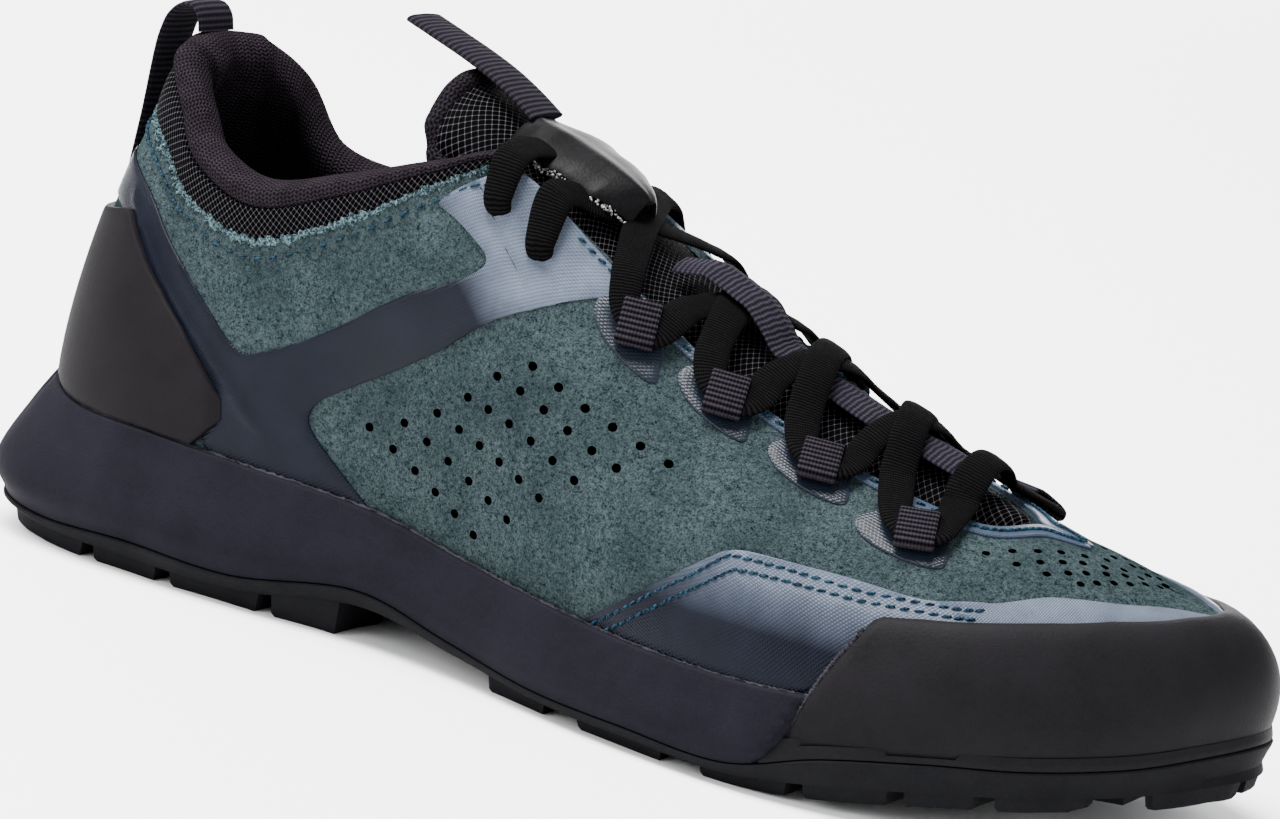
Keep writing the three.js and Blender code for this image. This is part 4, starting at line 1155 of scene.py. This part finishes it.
def overlayPiece(name, finish, corners, high, step, relief=None, times=2, replaced=()):
    roll = overlay["roll"]
    ring = plane(*rounded(corners, times).T)
    ring = evenly(np.vstack([ring, ring[:1]]), max(24, int(ringLength(ring) / step) * 2))[:-1]
    area = np.sum(ring[:, 0] * np.roll(ring[:, 1], -1) - np.roll(ring[:, 0], -1) * ring[:, 1])
    ring = ring if area > 0 else ring[::-1]
    tangent = unit(np.roll(ring, -1, 0) - np.roll(ring, 1, 0))
    inward = np.stack([-tangent[:, 1], tangent[:, 0]], 1)
    ways = [np.arange(ring[:, k].min(), ring[:, k].max(), step) for k in (0, 1)]
    grid = np.stack(np.meshgrid(*ways), -1).reshape(-1, 2)
    grid = grid[insideOf(grid, ring + inward * (roll + step * 0.55))]
    count = len(ring)
    points = [tuple(p) for p in np.vstack([ring + inward * roll * 1.2, grid])]
    edges = [(k, (k + 1) % count) for k in range(count)]
    flat, _, triangles, *_ = delaunay_2d_cdt(points, edges, [list(range(count))], 1, 1e-5)
    flat = np.array([tuple(p) for p in flat])
    top = flat / [overlay["tUnit"], overlay["vUnit"]]
    rim = ring / [overlay["tUnit"], overlay["vUnit"]]
    lift = high + (relief(*top.T) if relief else 0)
    layers = [
        face(*top.T, lift),
        face(*rim.T, high - roll * 0.8),
        face(*rim.T, overlay["buried"]),
        face(*top.T, overlay["buried"]),
    ]
    starts = np.cumsum([0] + [len(layer) for layer in layers])
    faces = [list(f) for f in triangles]
    # each layer starts with its points round the edge, in order
    for here, low in zip(starts[:3], starts[1:4]):
        faces += [[here + k, low + k, low + (k + 1) % count, here + (k + 1) % count] for k in range(count)]
    faces += [[starts[3] + k for k in reversed(f)] for f in triangles]
    piece = meshPiece(name, np.vstack(layers), faces)
    uv = np.vstack([surfaceUv(*where.T) for where in (top, rim, rim, top)])
    setUv(piece.data, piece.data.uv_layers.new(name="UVMap"), uv)
    closeUp(piece, False)
    return dress(piece, finish, replaced)


def ringLength(ring):
    return np.linalg.norm(ring - np.roll(ring, 1, 0), axis=1).sum()


def mirrored(corners):
    return [(rowCount - t, v) for t, v in corners][::-1]


# Corners at a height that follows the stations
def cornersAt(stations, height):
    return [(t, float(heightToV(t, height(t)))) for t in stations]


def underRim(t):
    return rimZ(t) - 0.8


def underRand(t):
    return randHeight(t) - 7


# Side film: from the eyelets back along a stripe, down to the rim and round the heel
film = {
    "high": 0.55,
    "collarEdge": [(8.2, 0.985), (8.09, 0.972), (7.79, 0.93), (7.06, 0.888)],
    "anklePanel": [
        (7.30, 0.850), (7.75, 0.773), (7.87, 0.754), (7.86, 0.730), (7.60, 0.703), (6.76, 0.682),
        (6.16, 0.632), (5.14, 0.500), (4.92, 0.477), (4.77, 0.497), (4.48, 0.581), (3.99, 0.676),
        (3.17, 0.736),
    ],
    "stripeEdge": [
        (9.28, 0.923), (8.28, 0.658), (6.96, 0.554), (6.05, 0.471), (5.64, 0.408), (5.52, 0.363),
        (5.51, 0.319), (5.68, 0.245), (5.89, 0.164), (6.04, 0.118),
    ],
    "heelEdge": [(4.5, 0.3), (4.3, 0.40), (3.85, 0.52), (3.35, 0.58), (2.75, 0.64), (1.5, 0.64)],
}


def filmOutline():
    high = [(9.28, 0.985)] + film["collarEdge"] + film["anklePanel"] + [(2.0, 0.742)]
    low = film["stripeEdge"] + cornersAt((6.12, 5.6, 5.0, 4.5), underRim) + film["heelEdge"]
    innerHigh, innerLow = ([(-t, v) for t, v in corners] for corners in (high[::-1], low))
    return high + [(0.0, 0.745)] + innerHigh + innerLow + [(0.0, 0.63)] + low[::-1]


# Ridges and grooves pressed into the film, each a line of (t, v) with its height and width in mm
def pressed(lines):
    def relief(t, v):
        total = np.zeros(len(t))
        here = plane(np.where(t > toeRow, rowCount - t, np.abs(t)), v)
        for points, height, width in lines:
            line = plane(*np.array(points).T)
            nearest = np.full(len(t), 1e9)
            for a, b in zip(line, line[1:]):
                share = np.clip(((here - a) @ (b - a)) / ((b - a) @ (b - a)), 0, 1)
                nearest = np.minimum(nearest, np.linalg.norm(here - a - share[:, None] * (b - a), axis=1))
            total += height * np.exp(-((nearest / width) ** 2))
        return total

    return relief


filmRelief = pressed([
    ([(7.35, 0.935), (7.72, 0.90), (8.06, 0.80), (8.3, 0.735)], -0.6, 1.3),
    ([(8.02, 0.93), (8.62, 0.80)], -0.5, 1.2),
    ([(2.6, 0.69), (3.4, 0.645), (4.05, 0.56), (4.5, 0.46), (4.75, 0.38), (5.0, 0.28)], 0.5, 1.0),
])
overlayPiece(
    "side_film", "film", filmOutline(), film["high"], 1.7, filmRelief,
    replaced=["side_film_outer", "side_film_inner", "heel_film"],
)

# Forefoot film: a band above the sole from the ball, over the toe
foreEdge = [
    (8.30, 0.099), (8.58, 0.152), (9.37, 0.301), (9.85, 0.403), (10.22, 0.484), (10.59, 0.515),
    (11.33, 0.557), (11.77, 0.555), (12.14, 0.597), (12.44, 0.587), (13.66, 0.649), (14.74, 0.730),
]


def foreRing():
    low = cornersAt((8.15, 9.0, 9.8, 10.7), underRim)
    low += cornersAt((11.4, 12.0, 13.0, 14.0, 15.0), underRand)
    high = [(16.0, 0.775)] + foreEdge[::-1]
    return low + cornersAt((16.0,), underRand) + mirrored(low) + mirrored(foreEdge[::-1]) + high


foreStitches = [
    [
        (8.46, 0.109), (9.1, 0.234), (9.71, 0.354), (10.05, 0.432), (10.2, 0.462), (10.48, 0.484),
        (10.85, 0.505), (11.33, 0.521), (11.76, 0.546), (12.3, 0.561),
    ],
    [
        (8.6, 0.108), (9.19, 0.222), (9.8, 0.344), (10.13, 0.414), (10.24, 0.432), (10.51, 0.452),
        (10.84, 0.47), (11.33, 0.489), (11.76, 0.513), (12.23, 0.523),
    ],
]
foreGrooves = pressed([(row, -0.45, 0.9) for row in foreStitches])
overlayPiece(
    "forefoot_laminate", "foreFilm", foreRing(), 0.8, 1.5, foreGrooves, replaced=["forefoot_film"],
)
foreLines = [lineOn(row, 0.5, side) for row in foreStitches for side in (-1, 1)]
stitches("forefoot_stitches", foreLines, **seams["forefoot"])

# Throat edging: a narrow film along each side of the lacing, joined at the front
edging = [
    (9.3, 0.95), (10.0, 0.945), (11.0, 0.94), (12.0, 0.925), (12.6, 0.91), (13.0, 0.915),
    (13.4, 0.94), (13.75, 0.975), (13.75, 1.0), (13.0, 1.0), (12.0, 0.99), (11.0, 0.99),
    (10.0, 0.99), (9.3, 0.99),
]
throatStitches = [
    (8.75, 0.965), (9.6, 0.965), (11.0, 0.962), (12.0, 0.955), (12.7, 0.95), (13.2, 0.955),
    (13.6, 0.985),
]
for sideName, outlineCorners in (("outer", edging), ("inner", mirrored(edging))):
    overlayPiece("throat_edging_" + sideName, "paleFilm", outlineCorners, 0.6, 1.6, times=1)
throatLines = [lineOn(throatStitches, 0.75, side) for side in (-1, 1)]
stitches("throat_stitches", throatLines, **seams["throat"])

# Heel counter: a moulded shell round the heel, standing on the midsole's rim
counter = {
    "thick": 1.9,
    "end": 4.7,
    "buried": -0.4,
    "footEdge": [(0, 0.9), (0.01, 0.3), (0.03, 0.05)],
    "between": (0.08, 0.94, 14),
    "topEdge": [(0.975, 0.05), (0.993, 0.35), (1, 1.0)],
    "top": runOf([
        (0, 65.5), (2, 66.4), (2.75, 68), (3.35, 61.3), (3.85, 55.3), (4.22, 49.8), (4.45, 44.7),
        (4.7, 38.5),
    ]),
    "foot": runOf([(0, 0), (4.42, 0), (4.7, 6.5)]),
}


def makeCounter():
    a = np.linspace(-1, 1, 101)[:, None]
    t = counter["end"] * a
    b, edge = edgeShares(counter)
    ends = np.clip((1 - np.abs(a)) / 0.02, 0, 1)
    low = rimZ(t) + 0.35 + above(counter["foot"](np.abs(t)))
    v = heightToV(t, low + (above(counter["top"](np.abs(t))) - low) * b)
    outer = face(t, v, counter["thick"] - edge - 1.2 * (1 - ends) ** 2)
    points = closedLoop(outer, face(t, v, counter["buried"])[:, ::-1])
    return dress(gridPiece("counter_shell", points), "shell", ["heel_counter"])


makeCounter()
print("films and counter ready")

# Collar: padded mesh outside, a rolled knit rim and the lining inside
collar = {
    "end": 8.1,
    "depth": 36.0,
    "steps": 150,
    "pad": runOf([(0, 8.0), (5, 8.0), (6.7, 5.4), (8.1, 3.4)]),
    "seam": runOf([(0, 0.72), (2.5, 0.68), (5.0, 0.54)]),
}


def collarSections():
    t = np.linspace(-collar["end"], collar["end"], collar["steps"])
    drop = upper["edgeDrop"](t)
    edge = heightToV(t, topPoint(t)[:, 2] - drop)
    over = heightToV(t, topPoint(t)[:, 2] - drop - 1.5)
    pad = collar["pad"](np.abs(t))
    mid = (edge + 1) / 2
    low = heightToV(t, topPoint(t)[:, 2] - collar["depth"])
    behind = -(wall + 2 * gap)
    seam = edge + (1 - edge) * collar["seam"](np.abs(t))
    outerChain = [(over, -1.6), (edge, -0.9), (edge + (1 - edge) * 0.12, 0.3), (mid, 0.9), (seam, 0.25)]
    rollChain = [
        (seam, -0.6), (seam + (1 - edge) * 0.03, 0.5), (seam + (1 - seam) * 0.36, 1.5),
        (seam + (1 - seam) * 0.77, 1.2), (1.0, -pad * 0.42), (0.985, -pad), (mid, -pad - 1),
        ((low + mid) / 2, behind - (pad - 2) * 0.55), (low, behind - 1.2),
    ]
    outerChain, rollChain = (
        np.stack([face(t, v, out) for v, out in chain], 1) for chain in (outerChain, rollChain)
    )
    # the roll's crown stands over the top line
    rollChain[:, 4, 2] += 1.2
    return t, outerChain, rollChain, face(t, low, behind)


def makeCollar():
    t, outerChain, rollChain, foot = collarSections()
    mesh = throughChains(outerChain, 5)
    knit = throughChains(rollChain, 6)
    # a thin second skin closes each piece behind its face
    meshBack = mesh[:, ::-1] - outward(np.mod(t, rowCount))[:, None] * 1.2
    piece = gridPiece("collar_mesh", closedLoop(mesh, meshBack))
    dress(piece, "collarMesh", [], 60)
    knitLoop = closedLoop(knit, foot[:, None])
    dress(gridPiece("collar_lining", knitLoop), "lining", ["collar"], 60)


makeCollar()
print("collar ready")

# Tongue: padded, under the throat's edges, and standing above the throat behind the lacing
tongue = {
    "thick": 6.0,
    "middle": -1.0,
    "tuck": 0.09,
    "swell": 6.3,
    "crown": runOf([
        (8, 0), (8.8, 0.12), (9.4, 0.45), (9.8, 0.8), (10.3, 1), (11.5, 1), (12.3, 0.85),
        (12.8, 0.4), (13, 0),
    ]),
    # along the foot, height, half width and how far the sides drop, above the throat
    "top": [
        (43.2, 92.8, 18.5, 5.0), (39.5, 96.8, 19.4, 7.0), (36.4, 102.3, 20.2, 10.5),
        (34.0, 105.2, 20.2, 11.5), (33.0, 106.6, 16.5, 8.5),
    ],
    "shares": [-1, -0.85, -0.66, -0.35, 0, 0.35, 0.66, 0.85, 1],
    "rows": 90,
    "columns": 41,
    "bindingStart": 62,
}


def swell(t, share):
    return tongue["crown"](t) * tongue["swell"] * 4 * share * (1 - share)


def tongueSkin(t):
    under = -(wall + 2.5 * gap)
    v = np.array([1 - 2 * tongue["tuck"], 1 - tongue["tuck"], 1])
    outerSide = face(t, v, under)
    innerSide = face(rowCount - t, v[::-1], under)
    middle = []
    for share in (0.25, 0.5, 0.75):
        p = outerSide[2] * (1 - share) + innerSide[0] * share
        p[2] += swell(t, share)
        middle.append(p)
    return np.vstack([outerSide, middle, innerSide])


def tongueTopSkin(x, z, half, drop):
    s = np.array(tongue["shares"])
    y = across(tongue["middle"]) + s * across(half)
    return np.stack([np.full(len(s), along(x)), y, above(z) - above(drop) * np.abs(s) ** 3], 1)


def makeTongue():
    skins = [tongueSkin(t) for t in np.arange(13.6, 8.8, -0.48)]
    skins += [tongueTopSkin(*row) for row in tongue["top"]]
    skins = np.array(skins)
    rows = np.stack([smoothLine(skins[:, k], tongue["rows"]) for k in range(skins.shape[1])], 1)
    fine = np.stack([smoothLine(row, tongue["columns"]) for row in rows])
    down = -unit(np.cross(np.gradient(fine, axis=0), np.gradient(fine, axis=1)))
    down *= np.where(down[..., 2:] > 0, -1, 1)
    share = np.linspace(0, 1, tongue["rows"])
    lengthwise = np.interp(share, [0, 0.1, 0.93, 0.975, 1], [0.35, 1, 1, 0.85, 0.12])[:, None]
    s = np.abs(np.linspace(-1, 1, tongue["columns"]))[None, :]
    thick = tongue["thick"] * lengthwise * np.sqrt(np.clip(1 - np.clip((s - 0.8) / 0.2, 0, 1) ** 2, 0.01, 1))
    middle = fine + down * (tongue["thick"] * 0.5 * lengthwise)[..., None]
    outer = middle - down * (thick / 2)[..., None]
    back = middle + down * (thick / 2)[..., None]
    points = closedLoop(outer, back[:, ::-1])
    piece = dress(gridPiece("tongue_pad", points), "tongueMesh", ["tongue"], 70)
    # a knitted binding round the free end
    start = tongue["bindingStart"]
    ring, facing = (
        np.concatenate([sheet[start:, 0], sheet[-1, 1:-1], sheet[start:, -1][::-1]])
        for sheet in (middle, -down)
    )
    ring = smoothLine(ring, 160)
    facing = unit(rowsAt(np.linspace(0, 1, 160), np.linspace(0, 1, len(facing)), facing))
    binding = gridPiece("tongue_binding", strapSections(ring, facing, 4.6, 3.6, sides=16, square=0.8))
    dress(binding, "binding", [], 80)


makeTongue()


def overThroat(t, share, lift):
    a = face(t, 1.0, 0.0)
    b = face(rowCount - t, 1.0, 0.0)
    p = a * (1 - share) + b * share
    p[..., 2] += swell(t, share) + lift
    return p


def faceUp(points):
    return unit(np.cross([0.0, 1.0, 0.0], np.gradient(np.asarray(points, float), axis=0)))


# Strip down the tongue's middle: over the first crossing, under the others
strip = {
    "width": 12.0,
    "thick": 1.2,
    "clear": 0.4,
    "droop": 2.0,
    "hump": runOf([(9.25, 0), (9.45, 3), (9.6, 4.8), (10, 4.8), (10.15, 3.2), (10.3, 0)]),
}
stripLift = strip["clear"] + strip["thick"] / 2
stripPoints = [overThroat(t, 0.5, stripLift + strip["hump"](t)) for t in np.arange(11.9, 9.25, -0.1)]
strap(
    "strip_webbing", "strip", stripPoints, faceUp(stripPoints), strip["width"], strip["thick"], 90,
    ["tongue_strip"], droop=strip["droop"],
)


def shared(rows):
    rows = np.asarray(rows, float)
    return np.stack([along(rows[:, 0]), across(rows[:, 1]), above(rows[:, 2])], 1)


# Pull tab: doubled webbing that rises off the tongue and points back
tab = {
    "width": 12.0,
    "thick": 2.4,
    "rows": [
        (38.8, -2, 101.9), (37, -2, 104.8), (34.8, -2, 107.8), (32.4, -2, 110.3), (30, -2, 112.4),
        (27.2, -1.5, 114.6),
    ],
}
tabPoints = shared(tab["rows"])
strap("tab_webbing", "webbing", tabPoints, faceUp(tabPoints), tab["width"], tab["thick"], 60, ["pull_tab"])

# Lace keeper: a thin coated patch over the top laces, with cut edges that fray
keeper = {
    "thick": 1.2,
    "drop": 4.2,
    "rows": [
        (49.0, -4.2, 91.6, 9), (48.2, -3.9, 93.4, 17), (46.8, -3.2, 95.4, 22), (44.8, -2.4, 97.3, 24),
        (42.6, -1.9, 99.2, 25), (40.9, -2.9, 100.6, 28), (39.6, -3.3, 101.4, 26),
        (38.9, -3.6, 101.8, 21), (38.6, -3.8, 102.0, 14),
    ],
    "fray": 150,
    "seed": 21,
}


# The patch's sheet: a goes along it from the front, and s across it from its outer edge (-1) to 1
def keeperSheet(a, s):
    rows = np.array(keeper["rows"])
    keys = np.linspace(0, 1, len(rows))
    middle = smoothLine(shared(rows[:, :3]), 81)
    fine = np.linspace(0, 1, 81)
    width = np.interp(fine, keys, across(rows[:, 3]))
    a, s = np.broadcast_arrays(a, s)
    half = np.interp(a, fine, width) / 2
    point = rowsAt(a, fine, middle) + column(half) * column(s) * np.array([0.0, 1.0, 0.0])
    # folds down over the laces, and lies in soft waves where they pass under it
    waves = 0.25 * np.sin(a * 19.0 + s * 1.5) * np.abs(s)
    point[..., 2] += waves - keeper["drop"] * np.abs(s) ** 2.4 + 0.5 * np.exp(-(((s + 0.25) / 0.18) ** 2))
    point[..., 0] -= 1.6 * np.abs(s) ** 2
    return point


def makeKeeper():
    a, s = np.linspace(0, 1, 61)[:, None], np.linspace(-1, 1, 41)[None, :]
    top = keeperSheet(a, s)
    n = unit(np.cross(np.gradient(top, axis=0), np.gradient(top, axis=1)))
    n *= np.where(n[..., 2:] < 0, -1, 1)
    edge = np.clip(np.minimum((1 - np.abs(s)) / 0.03, np.minimum(a, 1 - a) / 0.02), 0, 1)[..., None]
    lower = top - n * (keeper["thick"] - 0.3 * (1 - edge))
    points = closedLoop(top + n * 0.2 * edge, lower[:, ::-1])
    dress(gridPiece("keeper_patch", points), "patch", ["tongue_patch"], 50)
    random = np.random.default_rng(keeper["seed"])
    frames = []
    for _ in range(keeper["fray"]):
        p = keeperSheet(random.uniform(0.0, 0.98), -1.0)
        p = p + random.normal(0, 0.22, 3) - np.array([0, 0.1, keeper["thick"] * random.uniform(0.1, 0.9)])
        way = unit(random.normal(0, 1, 3))
        other = unit(np.cross(way, [0.3, 0.2, 1.0]))
        size = random.uniform(0.12, 0.3)
        frames.append((p, [way * size * 1.8, other * size, np.cross(way, other) * size]))
    dress(scattered("patch_fray", smallBall(6, 4), frames), "fray", [], 80)


makeKeeper()

# Heel loop: webbing sewn outside the heel that goes over the collar to its inside
heelLoop = {
    "width": 12.5,
    "thick": 1.6,
    "rows": [
        (4.18, 0, 69.5), (4.43, 0, 75.5), (4.78, 0, 83.7), (5, 0, 91), (5.2, 0, 97), (5.45, 0, 100.5),
        (5.95, 0, 104), (6.9, 0, 106.3), (7.9, 0, 106.6), (8.6, 0, 104.8), (8.9, 0, 101.8),
    ],
}
heelPoints = shared(heelLoop["rows"])
strap(
    "heel_webbing", "webbing", heelPoints, faceUp(heelPoints), heelLoop["width"], heelLoop["thick"], 100,
    ["heel_loop"],
)
print("straps ready")

# Lace loops: folded webbing in a flattened tunnel along the throat's edge
laceLoop = {
    "length": 11.0,
    "width": 8.0,
    "height": 3.4,
    "wall": 0.8,
    "seat": 0.75,
    "drop": 0.05,
    "rows": [(9.43, 0.800, 0.975), (10.20, 0.830, 0.975), (10.98, 0.810, 0.970), (11.66, 0.717, 0.873)],
}


# A rounded film pad under each loop, which runs up to the edging
def makePads():
    for k, (t, low, high) in enumerate(laceLoop["rows"]):
        corners = [(t - 0.40, low + 0.03), (t - 0.30, low - 0.02), (t, low - 0.035), (t + 0.22, low - 0.02)]
        corners += [(t + 0.24, low + 0.05), (t + 0.20, high), (t - 0.20, high), (t - 0.34, low + 0.09)]
        inner = mirrored([(a, b - laceLoop["drop"] * 0.6) for a, b in corners])
        for word, pad in (("outer", corners), ("inner", inner)):
            overlayPiece(f"loop_pad_{word}_{k + 1}", "padFilm", pad, 0.5, 1.5)


makePads()


def loopAxes(row, side):
    t = row[0] if side < 0 else rowCount - row[0]
    drop = 0 if side < 0 else laceLoop["drop"]
    middle = (row[1] + row[2]) / 2 - drop
    down = unit(face(t, row[1] - drop, 0.0) - face(t, row[2] - drop, 0.0))
    sideways = unit(np.cross(down, faceNormal(t, middle)))
    normal = unit(np.cross(sideways, down))
    base = face(t, middle, 0.0) + normal * (laceLoop["height"] / 2 + laceLoop["seat"])
    return base, down, normal, sideways


def makeLoop(name, row, side):
    base, down, normal, sideways = loopAxes(row, side)
    angle = np.linspace(0, 2 * np.pi, 49)
    c, s = np.cos(angle), np.sin(angle)

    def ring(less):
        x = np.sign(c) * np.abs(c) ** 0.55 * (laceLoop["length"] / 2 - less)
        y = np.sign(s) * np.abs(s) ** 0.7 * (laceLoop["height"] / 2 - less)
        return base + x[:, None] * down + y[:, None] * normal

    # how far in from the loop's outside, and how far along the tunnel
    thick, reach = laceLoop["wall"], laceLoop["width"] / 2
    path = [
        (thick * 0.5, -reach), (0.12, -reach + 0.1), (0, -reach + 0.4), (0, 0), (0, reach - 0.4),
        (0.12, reach - 0.1), (thick * 0.5, reach), (thick - 0.1, reach - 0.1), (thick, reach - 0.4),
        (thick, -reach + 0.4), (thick - 0.1, -reach + 0.1), (thick * 0.5, -reach),
    ]
    points = np.stack([ring(less) + sideways * z for less, z in path], 1)
    piece = gridPiece(name.replace("lace_loop", "webbing_loop"), points, fill=False)
    return dress(piece, "loopWebbing", [name])


for k, row in enumerate(laceLoop["rows"]):
    for side, word in ((-1, "outer"), (1, "inner")):
        makeLoop(f"lace_loop_{word}_{k + 1}", row, side)

# Lace: one flat woven lace, from the top bar down through the loops, over the front and back up
lace = {
    "width": 7.3,
    "thick": 1.6,
    "rest": 0.6 + laceLoop["height"] / 2,
    "reach": 0.12,
    "lead": 0.09,
    "steps": [0.08, 0.22, 0.38, 0.5, 0.62, 0.78, 0.92],
    "eyelets": [(7.99, 0.872), (8.48, 0.845)],
    "diveWidths": [4.4, 4.8, 5.6, 6.2, 7.4],
    "diveThicks": [3.2, 3.2, 3.0, 2.7, 2.0],
    "underStrip": 1.3,
    "overStrip": 3.1,
    "count": 900,
    "seed": 7,
}


def mouth(k, end):
    t, low, high = laceLoop["rows"][k]
    lead, drop = end * lace["lead"], laceLoop["drop"]
    return {"t": t + end * lace["reach"], "v": (low + high) / 2, "lead": lead, "drop": drop}


def eyelet(k):
    t, v = lace["eyelets"][k]
    return {"t": t, "v": v, "lead": 0.0, "drop": 0.0, "dives": True}


# The end of a run at one side of the shoe: points, normals, and the lace's width and thickness there
def runEnd(e):
    rest = lace["rest"] + gap
    if not e.get("dives"):
        places = np.array([e["t"], e["t"] + e["lead"]]), np.array([e["v"], 0.985])
        widths = [lace["width"] - 1.4, lace["width"]]
        return face(*places, rest), faceNormal(*places), widths, [lace["thick"]] * 2
    # down through an eyelet, bunched up and turned on edge
    t, v = e["t"], e["v"] + np.array([-0.012, -0.012, -0.006, 0.02, 0.985 - e["v"]])
    down = unit(face(t, v - 0.05, 0.0) - face(t, v + 0.05, 0.0))
    lean = np.array([1.0, 1.0, 0.75, 0.25, 0.0])[:, None]
    normals = unit(faceNormal(t, v) * (1 - lean) + down * lean)
    return face(t, v, [-3.4, -1.0, 1.3, 2.3, rest]), normals, lace["diveWidths"], lace["diveThicks"]


# From a place on one side to a place on the other, over the tongue; side -1 starts on the outer side
def laceRun(start, stop, side, lift):
    a, b = (start, stop) if side < 0 else (stop, start)
    far = {**b, "t": rowCount - b["t"], "v": b["v"] - b["drop"], "lead": -b["lead"]}
    ends = [runEnd(a), runEnd(far)]
    t0, t1 = a["t"] + a["lead"], b["t"] + b["lead"]
    up = unit(np.array([0.35, 0.0, 1.0]))
    points, normals = [], []
    for s in lace["steps"]:
        flat = 1 - abs(2 * s - 1) ** 3
        points.append(overThroat(t0 + (t1 - t0) * s, s, lace["rest"] + (lift - lace["rest"]) * flat))
        lean = abs(2 * s - 1) * 0.6
        normals.append(unit(up * (1 - lean) + ends[0 if s < 0.5 else 1][1][-1] * lean))
    points = np.vstack([ends[0][0], points, ends[1][0][::-1]])
    normals = np.vstack([ends[0][1], normals, ends[1][1][::-1]])
    middle = np.full(len(lace["steps"]), 1.0)
    widths = np.concatenate([ends[0][2], middle * lace["width"], ends[1][2][::-1]])
    thicks = np.concatenate([ends[0][3], middle * lace["thick"], ends[1][3][::-1]])
    parts = (points, normals, widths, thicks)
    return parts if side < 0 else tuple(values[::-1] for values in parts)


def laceRoute():
    top = lace["underStrip"] + 1.5 * lace["thick"]
    thick = lace["thick"]
    parts = [laceRun(eyelet(0), eyelet(0), -1, top)]
    parts.append(laceRun(eyelet(1), mouth(0, -1), 1, lace["underStrip"] + 2 * gap + thick * 0.8))
    side = -1
    for k in range(3):
        lift = (lace["underStrip"] if k == 0 else lace["overStrip"]) + (thick * 0.8 if k % 2 else 0)
        parts.append(laceRun(mouth(k, 1), mouth(k + 1, -1), side, lift))
        side = -side
    parts.append(laceRun(mouth(3, 1), mouth(3, 1), side, lace["overStrip"] + gap))
    side = -side
    for k in (2, 1, 0):
        lift = (lace["underStrip"] if k == 0 else lace["overStrip"]) + (0 if k % 2 else thick * 0.8)
        parts.append(laceRun(mouth(k + 1, -1), mouth(k, 1), side, lift))
        side = -side
    parts.append(laceRun(mouth(0, -1), eyelet(1), side, lace["underStrip"] + 2 * gap))
    return parts


def makeLace():
    points, normals, widths, thicks = (np.concatenate(values) for values in zip(*laceRoute()))
    keys = lengthsAlong(points)
    p = smoothLine(points, lace["count"])
    at = np.linspace(0, keys[-1], lace["count"])
    random = np.random.default_rng(lace["seed"])
    soft = np.interp(at, np.linspace(0, keys[-1], 60), random.normal(0, 1, 60))
    w = np.interp(at, keys, widths) * (1 + 0.05 * soft)
    d = np.interp(at, keys, thicks) * (1 - 0.05 * soft)
    n = unit(rowsAt(at, keys, normals))
    piece = gridPiece("lace", strapSections(p, n, w, d, sides=18, square=0.5))
    nodes = [
        "lace_crossing_1", "lace_crossing_2", "lace_crossing_3", "lace_crossing_top",
        "lace_bar_front", "lace_bar_top",
    ]
    return dress(piece, "lace", nodes)


makeLace()
print("lace ready")


# Stage: a plain pale floor, soft lights all round
stageSet = {"floor": 12.0, "world": 0.95}
bpy.ops.object.select_all(action="DESELECT")
bpy.ops.mesh.primitive_plane_add(size=stageSet["floor"])
floor = bpy.context.object
floor.name = "floor"
floorPaint, _ = newMaterial("paleFloor", 0.8)
floorPaint.node_tree.nodes["Principled BSDF"].inputs["Base Color"].default_value = linear("#f4f4f4")
floor.data.materials.append(floorPaint)

world = bpy.data.worlds.new("studio")
bpy.context.scene.world = world
world.use_nodes = True
world.node_tree.nodes["Background"].inputs["Color"].default_value = linear("#f5f7fa")
world.node_tree.nodes["Background"].inputs["Strength"].default_value = stageSet["world"]

# place and target in metres, size in metres, power in watts
softLights = {
    "over": ((-0.45, -0.15, 2.0), (0.0, 0.0, 0.05), 1.0, 185),
    "left": ((-1.45, -0.5, 1.65), (0.0, 0.0, 0.05), 0.7, 62),
    "front": ((-0.7, -1.7, 1.0), (0.0, 0.0, 0.05), 1.4, 36),
    "right": ((1.6, -0.5, 0.9), (0.05, 0.0, 0.05), 1.0, 16),
    "back": ((-0.9, 1.55, 0.62), (0.0, 0.0, 0.05), 1.3, 42),
}
for lightName, (place, target, wide, power) in softLights.items():
    light = bpy.data.lights.new(lightName, "AREA")
    light.size = wide
    light.energy = power
    lightObject = bpy.data.objects.new(lightName, light)
    bpy.context.scene.collection.objects.link(lightObject)
    toward = np.array(place) - np.array(target)
    side = unit(np.cross([0, 0, 1], toward))
    turned = Matrix([side, unit(np.cross(toward, side)), unit(toward)]).transposed()
    lightObject.matrix_world = Matrix.Translation(place) @ turned.to_4x4()
